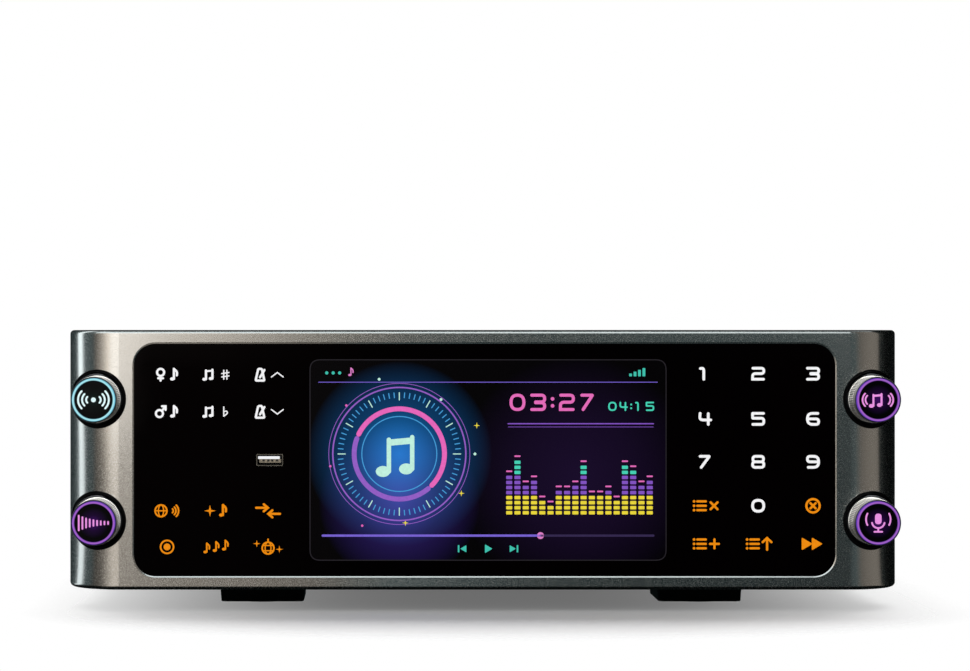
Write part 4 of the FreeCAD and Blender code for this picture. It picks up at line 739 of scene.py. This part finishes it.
def song_keys():
    """Amber signs of the left field."""
    w, r = KEY_W, SIGN_R
    a, b, c = LEFT_KEYS
    up, down = AMBER_ROWS
    aside, rise = DUEL_STEP
    step, climb = MEDLEY_STEP
    return {
        "network": globe(a + NETWORK_AT[0], up, r, FINE_W) + waves(a + NETWORK_AT[1], up, r, FINE_W),
        "new_songs": spark(b + NEW_AT[0], up, r) + note(b + NEW_AT[1], up, r, w),
        "duel": drawn("arrow", c - aside, up + rise, r, w) + drawn("arrow", c + aside, up - rise, -r, w),
        "record": [ring(a, down, RECORD_R[0], FINE_W), disc(a, down, RECORD_R[1])],
        "medley": sum([note(b + step * i, down + climb * i, MEDLEY_R, FINE_W) for i in (-1, 0, 1)], []),
        "mirror_ball": sum(
            [spark(c + x, down + z, SPARK_R) for x, z in BALL_SPARKS],
            mirror_ball(c, down - BALL_DROP, r, FINE_W)),
    }


def queue_keys():
    """Amber signs of the right field."""
    w, r = KEY_W, SIGN_R
    a, b, c = RIGHT_KEYS
    up, down = NUMBER_ROWS[3:]
    left, right = LIST_AT
    return {
        "unqueue": lines_of_list(a + left, up, r, w) + drawn("cross", a + right, up, CROSS_R, w),
        "cancel": [ring(c, up, CANCEL_R[0], w)] + drawn("cross", c, up, CANCEL_R[1], w),
        "queue": lines_of_list(a + left, down, r, w) + drawn("plus", a + PLUS_AT, down, SMALL_R, w),
        "queue_first": lines_of_list(b + left, down, r, w) + drawn("rising", b + right, down, r, w),
        "start": sum([play(c + step, down, STEP_R) for step in START_AT], []),
    }


def touch_keys():
    """Lit signs of both key fields."""
    white = voice_and_pitch_keys() | number_keys()
    amber = song_keys() | queue_keys()
    for light, keys in ((WHITE_LIGHT, white), (AMBER_LIGHT, amber)):
        for name, patches in keys.items():
            sign("key_" + name, patches, GLASS_MID, light)


touch_keys()


# Knobs: turned rings with painted shade in their grooves and on their flange, light rings, and lenses with a
# haze of light and a lit sign

GROOVE_RADIUS = 11.2 * MM
FLANGE_RADIUS = 12.55 * MM
BOLD_W = 0.95
STEM_W = 0.85
WAVE_W = 0.8
VIOLET = (tone(162, 98, 196), tone(88, 50, 176), tone(58, 12, 92))
CYAN = (tone(172, 230, 238), tone(84, 176, 204), tone(8, 24, 20))


def pulses():
    """Dot that sends waves to both sides."""
    return sum([waves(side * 1.6, 0, 4.4, BOLD_W, 90 - side * 90) for side in (-1, 1)], [disc(0, 0, 1.2)])


def decay(count=9, pitch=1.8, tallest=3.6, fall=0.24):
    """Row of bars that die away."""
    made = []
    for i in range(count):
        x = pitch * i - pitch * (count - 1) / 2
        half = tallest * math.exp(-fall * i)
        made.append(stroke([(x, -half), (x, half)], STEM_W))
    return made


def tune():
    """Notes between waves."""
    notes = beamed_notes(-0.4, -0.2, 3.6, BOLD_W)
    return notes + waves(3.0, 0, 3.2, WAVE_W)[1:] + waves(-3.4, 0, 3.2, WAVE_W, 180)[1:]


def microphone():
    """Microphone on its stand, between waves."""
    return [
        plate(-1.6, 1.6, -0.6, 4.6, 1.6),
        ring(0, 0.6, 3.1, STEM_W, 190, 350, 24),
        stroke([(0, -2.6), (0, -4.2)], STEM_W),
        stroke([(-1.9, -4.3), (1.9, -4.3)], STEM_W),
    ] + [ring(0, 1.8, 6.0, WAVE_W, turn - 28, turn + 28, 16) for turn in (0, 180)]


KNOBS = {
    "echo": (pulses(), CYAN_SIGN, CYAN),
    "reverb": (decay(), PINK_SIGN, VIOLET),
    "music": (tune(), PINK_SIGN, VIOLET),
    "mic": (microphone(), PINK_SIGN, VIOLET),
}
for name, (patches, sign_light, (core, edge, haze)) in KNOBS.items():
    cap, light, turned = [name + part for part in ("_knob_cap", "_light_ring", "_knob_ring")]
    middle = middle_of(cap, cap)
    inner, outer = [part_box(part)[1].x - middle.x for part in (cap, light)]
    paint(cap, knob_lens(name + "_lens", middle, haze))
    paint(light, ring_light(name + "_ring_light", middle, inner, outer, core, edge))
    paint(turned, turned_metal(name + "_knob_metal", middle, GROOVE_RADIUS, FLANGE_RADIUS))
    sign(name + "_sign", patches, middle, sign_light)


# Polished edge round the glass, leaning towards its middle

TRIM_W = 0.55
TRIM_RISE = 0.3 * MM
TRIM_CORNER = 10.8


def glass_trim():
    low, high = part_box("front_glass")
    half_w, half_h = (high.x - low.x) / 2 / MM, (high.z - low.z) / 2 / MM
    rings = []
    for grow, rise in ((0.0, 0.0), (TRIM_W, TRIM_RISE), (TRIM_W, 0.0)):
        points = []
        for i, (right, up) in enumerate(((1, 1), (-1, 1), (-1, -1), (1, -1))):
            middle = (right * (half_w - TRIM_CORNER), up * (half_h - TRIM_CORNER))
            points += arc(*middle, TRIM_CORNER + grow, 90 * i, 90 * i + 90, 16)
        rings.append([GLASS_MID + Vector((x * MM, -rise, z * MM)) for x, z in points])
    piece("glass_trim", bands(rings, closed=True), FINISHES["fascia_metal"])


glass_trim()


# Feet: square blocks with eased corners and a slight taper, round a recess for the pad

FOOT_TAPER = 0.8
FOOT_CORNER = 3.5
FOOT_EASE = 0.2
PAD_RADIUS = 17.2
PAD_TOP = 2.0


def foot(node):
    low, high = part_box(node)
    middle = (low + high) / 2
    half = (high.x - low.x) / 2 / MM
    base, top = low.z / MM, high.z / MM
    sizes = [(top, half), (base + FOOT_EASE, half - FOOT_TAPER), (base, half - FOOT_TAPER - FOOT_EASE)]
    rings = []
    for level, reach in sizes:
        outline = rectangle(-reach, reach, -reach, reach, FOOT_CORNER)
        rings.append([(x, y, level) for x, y in outline])
    turns = [math.atan2(y, x) for x, y, level in rings[-1]]
    for level in (base, PAD_TOP):
        rings.append([(PAD_RADIUS * math.cos(a), PAD_RADIUS * math.sin(a), level) for a in turns])
    places = [[(middle.x + x * MM, middle.y + y * MM, z * MM) for x, y, z in points] for points in rings]
    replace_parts(piece(node + "_block", bands(places, closed=False), FINISHES["gloss_black"]), node)


for place in ("front_left", "front_right", "rear_left", "rear_right"):
    foot("foot_" + place)


# Data port: a white bar that glows as painted light, over a carrier with four contacts coloured dark as
# painted shade, by their sides and corners

PORT_BAR = (-5.8, 4.9, 0.45, 1.8, 0.2)
PORT_CARRIER = (-5.2, 5.6, -1.4, 0.45, 0.2)
PORT_CONTACTS = (-3.1, -0.7, 1.25, 3.6)
CONTACT_HALF = 0.55
CONTACT = (-0.8, 0.25, 0.15)
PORT_T = 0.1 * MM


def port_contacts():
    middle = middle_of("front_port_shell", "front_port_tongue")
    # The white bar glows as painted light: its brightness comes from its own emission, not from the lamps
    white = lit("port_bar_painted_glow", (246, 247, 250), vary=0.05)
    # The contacts are coloured dark as painted shade for the shade that lies on them
    contacts = [plate(x - CONTACT_HALF, x + CONTACT_HALF, *CONTACT) for x in PORT_CONTACTS]
    sign("port_bar", [plate(*PORT_BAR)], middle, white, PORT_T)
    sign("port_carrier", [plate(*PORT_CARRIER)], middle, FINISHES["port_carrier"], PORT_T)
    sign("port_contacts", contacts, middle, FINISHES["port_contact"], lift=PORT_T)


port_contacts()


# Back: insulators of the sound sockets, painted shade in the cross recesses of the fan's screws, and marks on
# the switch

PHONO_HALF = 8.0
INSULATOR = (2.5, 1.6)
FAN_HOLE_HALF = 25.0
RECESS_SHADE_CROSS = (1.5, 0.6)
ROCKER_TILT = math.radians(11)
MARK_PLACE = (0.0, 2.03 * MM, 3.3 * MM)
MARK_LEAN = math.radians(14.8)
OFF_MARK = (1.1, 0.45)
ON_MARK = (1.2, 0.5)
MARK_T = 0.1 * MM


def rear_details():
    socket = middle_of("phono_barrels", "phono_block", 1)
    for name, row in (("white", 1), ("red", -1)):
        rings = [ring(side * PHONO_HALF, row * PHONO_HALF, *INSULATOR) for side in (-1, 1)]
        sign("insulators_" + name, rings, socket, FINISHES["insulator_" + name], way=1)
    # Dark crosses on the fan's screw heads are painted shade that stands in for their hollow recesses
    fan = middle_of("fan_frame", "case_screws", 1)
    corners = [(x * FAN_HOLE_HALF, z * FAN_HOLE_HALF) for x in (-1, 1) for z in (-1, 1)]
    recess_shade_crosses = sum([drawn("plus", x, z, *RECESS_SHADE_CROSS) for x, z in corners], [])
    sign("screw_recess_painted_shade", recess_shade_crosses, fan, FINISHES["dark_plastic"], way=1)
    pivot = Vector(next(j["pos_m"] for j in frame["joints"] if j["child"] == "rocker"))
    white = FINISHES["switch_print"]
    marks = {"off": (1, ring(0, 0, *OFF_MARK)), "on": (-1, bar(0, 0, *ON_MARK, (0, -1), (0, 1)))}
    for name, (up, mark) in marks.items():
        spot = Matrix.Rotation(ROCKER_TILT, 3, "X") @ Vector((*MARK_PLACE[:2], up * MARK_PLACE[2]))
        lean = ROCKER_TILT - up * MARK_LEAN
        sign("switch_" + name, [mark], pivot + spot, white, MARK_T, way=1, turn=lean, body="rocker")


rear_details()


# Player screen behind the glass: a dial with a note, a clock and level bars

# Sides and corner of the screen
SCREEN = (-88.3, 88.3, -49.7, 49.7, 5.0)
EDGE_W = 0.5

# Dial: its middle, its lines as radii and widths, and the sparks round it
DIAL = (-44.0, 3.0)
DIAL_RIMS = ((33.0, 0.7), (35.0, 0.3))
DIAL_CORE = (18.6, 0.5)
DIAL_TRACK = (22.4, 2.4)
TRACK_AHEAD = (-200, -50)
TRACK_RUN = (-44, 154)
DIAL_NOTE = (0.6, -0.6, 10.5, 2.2)
TICKS = 72
MARK_EVERY = 6
TICK_RADII = (28.0, 30.4)
MARK_RADII = (26.8, 30.4)
TICK_W = 0.5
SPARKS = 9
SPARK_TURN = 0.382
SPARK_REACH = 37.5
SPARK_SWING = 3.5
SPARK_SIZES = (0.7, 0.6, 1.6)

# Glows behind the picture: place, radius, colour and strength
GLOWS = (
    (DIAL, 46 * MM, tone(26, 118, 196), 1.0),
    ((DIAL[0], DIAL[1] - 24), 40 * MM, tone(70, 50, 150), 0.7),
    ((44.0, -8.0), 60 * MM, tone(44, 24, 70), 0.35),
)

# Clock: place, height and stroke of its numbers, and the lines under it
CLOCK = (32.0, 28.6, 8.6, 1.5)
CLOCK_TOTAL = (71.0, 26.6, 4.6, 0.8)
CLOCK_LINES = ((18.0, 0.6), (16.4, 0.25))
CLOCK_SPAN = (10.0, 82.0)

# Level bars
COLUMNS = 18
COLUMN_X = 10.5
COLUMN_PITCH = 4.1
BAR_HALF = 1.5
BAR_H = 1.7
BAR_PITCH = 2.5
BAR_FLOOR = -27.0
BAR_CORNER = 0.4
CREST_GAP = 0.4
CREST_H = 0.8
CREST_CORNER = 0.3
LOW_BARS = 4
MIDDLE_BARS = 8

# Progress line, transport signs and the row at the top
TRACK_Z = -37.5
TRACK_X = (-82.0, 26.0, 82.0)
TRACK_W = 1.1
HEAD_R = 1.7
TOP_LINE = (84.0, 38.6, 0.35)
TOP_NOTE = (-68.0, 43.6, 2.0, 0.6)
TRANSPORT_Z = -44.0
PLAY_R = 2.2
SKIP_R = 1.8
SKIP_X = 12.0
STOP_X = 14.6
STOP_HALF = 0.4
SMALL_CORNER = 0.3

# Dots and signal bars at the top: first place, step, height, size and growth
DOTS = (-80.0, 3.2, 43.2, 0.8)
SIGNAL = (70.0, 2.2, 41.5, 1.4, 0.9)


def on_screen(x, z):
    """A point of the screen in the frame."""
    return SCREEN_MID + Vector((x * MM, 0, z * MM))


def show(*parts):
    """Lit pieces on the pane, each with its name, patches and light."""
    for name, patches, light in parts:
        sign("screen_" + name, patches, SCREEN_MID, light, lift=PANE_T)


def screen_pane():
    """Dark picture area with glows behind the dial and the bars."""
    finish = Finish("screen_pane", roughness=0.3)
    glows = [finish.glow(on_screen(*place), *light) for place, *light in GLOWS]
    finish.shines(finish.sum_of(glows), PANE_GROUND)
    outline = rectangle(*SCREEN)
    sign("screen_pane", [fill(outline)], SCREEN_MID, finish, PANE_T)
    edge = stroke(outline, EDGE_W, closed=True)
    sign("screen_edge", [edge], SCREEN_MID, lit("screen_edge", (36, 33, 38)))


def screen_dial():
    """Rings and ticks round a note."""
    x, z = DIAL
    violet = lit("dial_violet", (150, 96, 200))
    blue = lit("dial_blue", (70, 160, 220))
    pink = lit("dial_pink", (236, 104, 190))
    mint = lit("dial_mint", (196, 244, 226))
    yellow = lit("dial_yellow", (240, 222, 70))
    ticks, marks = [], []
    for i in range(TICKS):
        turn = 360 * i / TICKS
        marked = i % MARK_EVERY == 0
        ends = [arc(x, z, radius, turn, turn, 1)[0] for radius in (MARK_RADII if marked else TICK_RADII)]
        (marks if marked else ticks).append(stroke(ends, TICK_W))
    sparks = []
    for i in range(SPARKS):
        turn = math.tau * i * SPARK_TURN
        reach = SPARK_REACH + SPARK_SWING * math.sin(5 * turn)
        sparks.append((x + reach * math.cos(turn), z + reach * math.sin(turn)))
    large, small, star = SPARK_SIZES
    rims = [ring(x, z, *rim, steps=96) for rim in DIAL_RIMS]
    run = [ring(x, z, *DIAL_TRACK, *TRACK_RUN)]
    show(
        ("dial_rings", rims + [ring(x, z, *DIAL_TRACK, *TRACK_AHEAD)], violet),
        ("dial_ticks", ticks + [ring(x, z, *DIAL_CORE, steps=64)], blue),
        ("dial_marks", marks + [disc(*spot, large) for spot in sparks[::3]], mint),
        ("dial_arc", run + [disc(*spot, small) for spot in sparks[1::3]], pink),
        ("dial_note", beamed_notes(x + DIAL_NOTE[0], z + DIAL_NOTE[1], *DIAL_NOTE[2:]), mint),
        ("dial_sparks", sum([spark(*spot, star) for spot in sparks[2::3]], []), yellow),
    )


def level_of(i):
    """Height of a column, in bars."""
    level = 5.5 + 3.0 * math.sin(0.9 * i + 0.4) + 2.6 * math.sin(2.3 * i) + 1.2 * math.cos(0.5 * i)
    return max(2, round(level))


def screen_levels():
    """Clock over a field of level bars."""
    pink = lit("clock_pink", (234, 110, 190))
    violet = lit("level_violet", (132, 84, 196))
    teal = lit("level_teal", (70, 214, 184))
    yellow = lit("level_yellow", (238, 218, 60))
    low, middle, high, crests = [], [], [], []
    for i in range(COLUMNS):
        x = COLUMN_X + COLUMN_PITCH * i
        sides = (x - BAR_HALF, x + BAR_HALF)
        for j in range(level_of(i)):
            z = BAR_FLOOR + BAR_PITCH * j
            field = low if j < LOW_BARS else middle if j < MIDDLE_BARS else high
            field.append(plate(*sides, z, z + BAR_H, BAR_CORNER))
        crest = BAR_FLOOR + BAR_PITCH * (level_of(i) + CREST_GAP)
        crests.append(plate(*sides, crest, crest + CREST_H, CREST_CORNER))
    show(
        ("clock", number("03:27", *CLOCK), pink),
        ("clock_total", number("04:15", *CLOCK_TOTAL), teal),
        ("clock_line", [stroke([(x, z) for x in CLOCK_SPAN], width) for z, width in CLOCK_LINES], violet),
        ("levels_low", low, yellow),
        ("levels_middle", middle, violet),
        ("levels_high", high, teal),
        ("levels_top", crests, pink),
    )


def screen_transport():
    """Progress line, transport signs and a row at the top."""
    violet = lit("line_violet", (122, 100, 214))
    dim = lit("line_dim", (52, 40, 78))
    pink = lit("line_pink", (226, 130, 204))
    teal = lit("line_teal", (64, 196, 176))
    reach, height, width = TOP_LINE
    top_line = stroke([(-reach, height), (reach, height)], width)
    left, head, right = [(x, TRACK_Z) for x in TRACK_X]
    x, step, z, radius = DOTS
    small = [disc(x + step * i, z, radius) for i in range(3)]
    x, step, z, side, rise = SIGNAL
    for i in range(4):
        small.append(plate(x + step * i, x + step * i + side, z, z + side + rise * i, SMALL_CORNER))
    transport = play(0, TRANSPORT_Z, PLAY_R)
    for side in (-1, 1):
        transport += play(side * SKIP_X, TRANSPORT_Z, SKIP_R, side)
        x = side * STOP_X
        heights = (TRANSPORT_Z - SKIP_R, TRANSPORT_Z + SKIP_R)
        transport.append(plate(x - STOP_HALF, x + STOP_HALF, *heights, SMALL_CORNER))
    show(
        ("track", [stroke([head, right], TRACK_W)], dim),
        ("track_done", [stroke([left, head], TRACK_W), top_line], violet),
        ("track_head", [disc(*head, HEAD_R)] + note(*TOP_NOTE), pink),
        ("transport", transport + small, teal),
    )


screen_pane()
screen_dial()
screen_levels()
screen_transport()


# Stage: floor, cards that shape the reflections, lamps, world and camera

AMBIENT = 0.3
WALL_REACH = 2.4
BOX_REACH = 2.2
WALL_TOP = 3.4
UPPER_WALL = 0.95
SKIRT = 0.1
ZENITH_Z = 2.5
ZENITH_AHEAD = (0.45, 0.08)
CARD_STEPS = 60
CARD_LIFT = 0.5 * MM
END_RADIUS = 27.0 * MM
FLAG_MARGIN = 0.03
FLOOR_RADIUS = 2.0
FLOOR_SIDES = 96
FLOOR_GREY = (0.86, 0.86, 0.86, 1.0)
FLOOR_LIFT = 0.15
FADE_START = 0.45
FADE_END = 0.85
SHADOW_X = 0.008
SHADOW_HALF = 0.238
SHADOW_DEPTH = 0.125
SHADOW_POWER = 1.55
WHITE = (1.0, 1.0, 1.0, 1.0)

# Tints of the light
SLATE = (0.72, 1.0, 1.06)
WARM = (1.0, 0.92, 0.82)
PALE = (1.0, 0.97, 0.93)
COOL = (0.88, 1.0, 1.05)

# Lamps: place, aim, size and watts
OVERHEAD = ((0.0, 1.05, 2.15), (0.0, 0.0, 0.0), (5.0, 1.4), 88.0)
KNOB_LAMP = ((0.0, -1.3, 2.0), (0.0, -0.17, 0.08), (1.6, 0.6), 220.0)


def card_light(name, stops):
    """Light of a card, running through its stops."""
    finish = Finish(name)
    finish.tree.nodes.remove(finish.shader)
    along = finish.node("SeparateXYZ", Vector=finish.place.node.outputs["UV"]).outputs["X"]
    glow = finish.node("Emission", Color=finish.ramp(along, *stops))
    finish.ends_in(glow.outputs["Emission"])
    return finish


def card(name, edges, stops):
    """Card seen only in reflections; edges gives its two sides at the place of a stop."""
    start, length = stops[0][0], stops[-1][0] - stops[0][0]
    shape = bmesh.new()
    layer = shape.loops.layers.uv.new("along")
    pairs = []
    for i in range(CARD_STEPS + 1):
        pairs.append([shape.verts.new(point) for point in edges(start + length * i / CARD_STEPS)])
    for i in range(CARD_STEPS):
        face = shape.faces.new([pairs[i][0], pairs[i + 1][0], pairs[i + 1][1], pairs[i][1]])
        for loop, along in zip(face.loops, (i, i + 1, i + 1, i)):
            loop[layer].uv = (along / CARD_STEPS, 0.0)
    light = card_light(name, [((place - start) / length, colour) for place, colour in stops])
    thing = thing_of(name, shape, light)
    for ray in ("camera", "diffuse", "transmission", "shadow"):
        setattr(thing, "visible_" + ray, False)


def strip(tint, *levels):
    """Stops of one tint, each a place and how bright it is there."""
    return [(place, shaded(tint, level)) for place, level in levels]


def at_bearing(middle, bearing, reach):
    """Place round a middle; bearings are degrees to the right of the camera's side."""
    turn = math.radians(bearing)
    return middle[0] + reach * math.sin(turn), middle[1] - reach * math.cos(turn)


def wall(middle, reach, low=0.0):
    """Edges of an upright card bent round a middle, by bearing."""
    return lambda bearing: [(*at_bearing(middle, bearing, reach), z) for z in (low, WALL_TOP)]


def floor_round(middle):
    """Edges of a flat card on the floor round a middle, by bearing."""
    reaches = (END_RADIUS + FLAG_MARGIN, WALL_REACH)
    return lambda bearing: [(*at_bearing(middle, bearing, reach), CARD_LIFT) for reach in reaches]


def mirrored(x):
    """Where the flat front shows the far wall at a place x of its own."""
    return x + WALL_REACH * (x - CAMERA_X) / CAMERA_AWAY, GLASS_MID.y - WALL_REACH


def backdrop(low, high):
    """Edges of an upright card on the camera's side, by the place on the front that mirrors it."""
    return lambda x: [(*mirrored(x), z) for z in (low, high)]


def table(x):
    """Edges of a flat card before the front, by the place on the front that mirrors it."""
    lift = 2 * CARD_LIFT
    return [(*mirrored(x), lift), (x, GLASS_MID.y - FLAG_MARGIN, lift)]


def level_card(name, x0, x1, y0, y1, z, tint, level):
    """Flat card of one light."""
    card(name, lambda x: [(x, y0, z), (x, y1, z)], strip(tint, (x0, level), (x1, level)))


def maths(tree, operation, first, second):
    """Maths on two outputs or numbers."""
    made = tree.nodes.new("ShaderNodeMath")
    made.operation = operation
    for socket, value in zip(made.inputs, (first, second)):
        feed(tree, socket, value)
    return made.outputs["Value"]


def light_path_share(tree):
    """One for rays from the camera, mirrors and glass, and zero for the rest."""
    path = tree.nodes.new("ShaderNodeLightPath").outputs
    mirrors = maths(tree, "MAXIMUM", path["Is Glossy Ray"], path["Is Transmission Ray"])
    return maths(tree, "MAXIMUM", path["Is Camera Ray"], mirrors)


def floor_fade(finish):
    """Nought under the object, rising to one around it, where white takes over; the oval part paints white
    over the ends and the front of the object's shadow, so the shadow's outline is painted.
    """
    tree = finish.tree
    spot = finish.node("SeparateXYZ", Vector=finish.place).outputs
    # Oval fade round the object: painted light that whitens the ends and the front of its shadow
    aside = maths(tree, "DIVIDE", maths(tree, "SUBTRACT", spot["X"], SHADOW_X), SHADOW_HALF)
    ahead = maths(tree, "MAXIMUM", maths(tree, "SUBTRACT", GLASS_MID.y, spot["Y"]), 0.0)
    ahead = maths(tree, "DIVIDE", ahead, SHADOW_DEPTH)
    squares = [maths(tree, "MULTIPLY", share, share) for share in (aside, ahead)]
    sides = maths(tree, "MINIMUM", maths(tree, "ADD", *squares), 1.0)
    sides = maths(tree, "POWER", sides, SHADOW_POWER)
    far = finish.spread(finish.away_from((0.0, 0.0, 0.0)), 0.0, 1.0, FADE_START, FADE_END)
    far.node.interpolation_type = "SMOOTHSTEP"
    return maths(tree, "MAXIMUM", sides, far)


def floor():
    """White floor that takes the shadow, with the shadow's outline painted by an oval fade, and fades into
    the white background.
    """
    finish = Finish("floor_white", roughness=0.9)
    tree = finish.tree
    finish.shines(WHITE, FLOOR_GREY, gloss=0.0)
    finish.set("Emission Strength", maths(tree, "MULTIPLY", light_path_share(tree), FLOOR_LIFT))
    mix = finish.node("MixShader", Fac=floor_fade(finish))
    tree.links.new(finish.shader.outputs["BSDF"], mix.inputs[1])
    tree.links.new(finish.node("BsdfTransparent").outputs["BSDF"], mix.inputs[2])
    finish.ends_in(mix.outputs["Shader"])
    shape = bmesh.new()
    bmesh.ops.create_circle(shape, cap_ends=True, segments=FLOOR_SIDES, radius=FLOOR_RADIUS)
    thing_of("floor", shape, finish)


def lamp(name, place, target, size, watts, gloss, receivers=()):
    """Soft rectangular lamp, seen in gloss or not, that lights only its receivers, if it has any."""
    light = bpy.data.lights.new(name, "AREA")
    light.shape = "RECTANGLE"
    light.size, light.size_y = size
    light.energy = watts
    thing = in_scene(name, light)
    thing.visible_glossy = gloss
    thing.location = place
    thing.rotation_euler = (Vector(target) - Vector(place)).to_track_quat("-Z", "Y").to_euler()
    if receivers:
        group = bpy.data.collections.new(name + "_receivers")
        for node in receivers:
            group.objects.link(nodes[node])
        thing.light_linking.receiver_collection = group


def world():
    """White background; softer light on matt surfaces."""
    studio = bpy.data.worlds.new("studio")
    scene.world = studio
    studio.use_nodes = True
    tree = studio.node_tree
    back = tree.nodes["Background"].inputs
    back["Color"].default_value = WHITE
    feed(tree, back["Strength"], maths(tree, "MAXIMUM", light_path_share(tree), AMBIENT))


def camera():
    """Level camera left of the middle, square to the front, with its frame shifted over the object."""
    focal_px = CAMERA_AWAY / PIXEL
    axis_px = FASCIA_MID_PX - (FASCIA_MID.x - CAMERA_X) / PIXEL
    height = FASCIA_MID.z + (FASCIA_MID_PY - IMAGE_H / 2) * PIXEL
    data = bpy.data.cameras.new("camera")
    data.sensor_width = SENSOR
    data.lens = SENSOR * focal_px / IMAGE_W
    data.shift_x = (IMAGE_W / 2 - axis_px) / IMAGE_W
    thing = in_scene("camera", data)
    thing.location = (CAMERA_X, GLASS_MID.y - CAMERA_AWAY, height)
    thing.rotation_euler = (math.radians(90), 0.0, 0.0)
    scene.camera = thing


def reflections():
    """Warm light before the left half, a cool strip at the left, and dark at the right and behind."""
    low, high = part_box("fascia")
    middle = (0.0, 0.0)
    left_end = (low.x + END_RADIUS, low.y + END_RADIUS)
    right_end = (high.x - END_RADIUS, low.y + END_RADIUS)
    left_far = strip(SLATE, (-180, 0.03), (-140, 0.05), (-118, 0.1))
    left_wall = left_far + strip(COOL, (-112, 0.5), (-108, 2.4), (-97, 2.4), (-93, 0.6))
    left_wall += strip(SLATE, (-87, 0.15), (-66, 0.14))
    left_wall += strip(WARM, (-57, 0.2), (-46, 0.6), (-37, 1.1), (-28, 1.8))
    left_wall += strip(PALE, (-19, 2.2), (-11, 2.4), (-5, 2.2))
    left_floor = left_far + strip(COOL, (-109, 0.4), (-105, 1.8), (-92, 1.8), (-87, 0.4))
    left_floor += strip(SLATE, (-80, 0.14), (-66, 0.12))
    left_floor += strip(WARM, (-57, 0.1), (-46, 0.13), (-37, 0.24), (-28, 0.55))
    left_floor += strip(WARM, (-20, 0.85), (-13, 1.0), (-9, 1.0), (-5, 0.8))
    right = strip(SLATE, (11, 0.1), (20, 0.15))
    right += strip(WARM, (32, 0.22), (47, 0.29), (66, 0.33), (75, 0.3))
    right += strip(SLATE, (79, 0.03), (100, 0.004), (180, 0.01))
    front_wall = strip(PALE, (-0.182, 2.1))
    front_wall += strip(WARM, (-0.176, 1.5), (-0.166, 1.2), (-0.146, 1.3), (-0.131, 1.2))
    front_wall += strip(WARM, (-0.116, 0.8), (-0.096, 0.52), (-0.077, 0.36), (-0.057, 0.2))
    front_wall += strip(SLATE, (-0.037, 0.13), (0.003, 0.1), (0.045, 0.12), (0.182, 0.16))
    front_table = strip(WARM, (-0.195, 0.5), (-0.182, 0.42), (-0.166, 0.37), (-0.126, 0.34), (-0.087, 0.23))
    front_table += strip(SLATE, (-0.047, 0.16), (-0.007, 0.11), (0.013, 0.085), (0.072, 0.058), (0.2, 0.042))
    card("left_wall", wall(left_end, WALL_REACH), left_wall)
    card("left_floor", floor_round(left_end), left_floor)
    card("right_wall", wall(right_end, WALL_REACH), right)
    card("right_floor", floor_round(right_end), right)
    card("rear_wall", wall(middle, BOX_REACH), strip(SLATE, (160, 0.02), (200, 0.02)))
    card("front_wall", backdrop(SKIRT, WALL_TOP), front_wall)
    card("front_skirt", backdrop(0.0, SKIRT), front_table)
    card("front_table", table, front_table)
    card("upper_wall", wall(middle, BOX_REACH, UPPER_WALL), strip(COOL, (-62, 1.8), (20, 1.8)))
    across = (-WALL_REACH, WALL_REACH)
    level_card("zenith_card", *across, *[low.y - ahead for ahead in ZENITH_AHEAD], ZENITH_Z, COOL, 1.1)
    level_card("ceiling_flag", *across, *across, WALL_TOP, SLATE, 0.02)
    under = (low.x - FLAG_MARGIN, high.x + FLAG_MARGIN, low.y - FLAG_MARGIN, -low.y)
    level_card("under_flag", *under, CARD_LIFT, SLATE, 0.005)


floor()
reflections()
lamp("overhead", *OVERHEAD, gloss=False)
lamp("knob_lamp", *KNOB_LAMP, gloss=True, receivers=[name + "_knob_ring" for name in KNOBS])
world()
camera()
scene.view_settings.view_transform = "Standard"
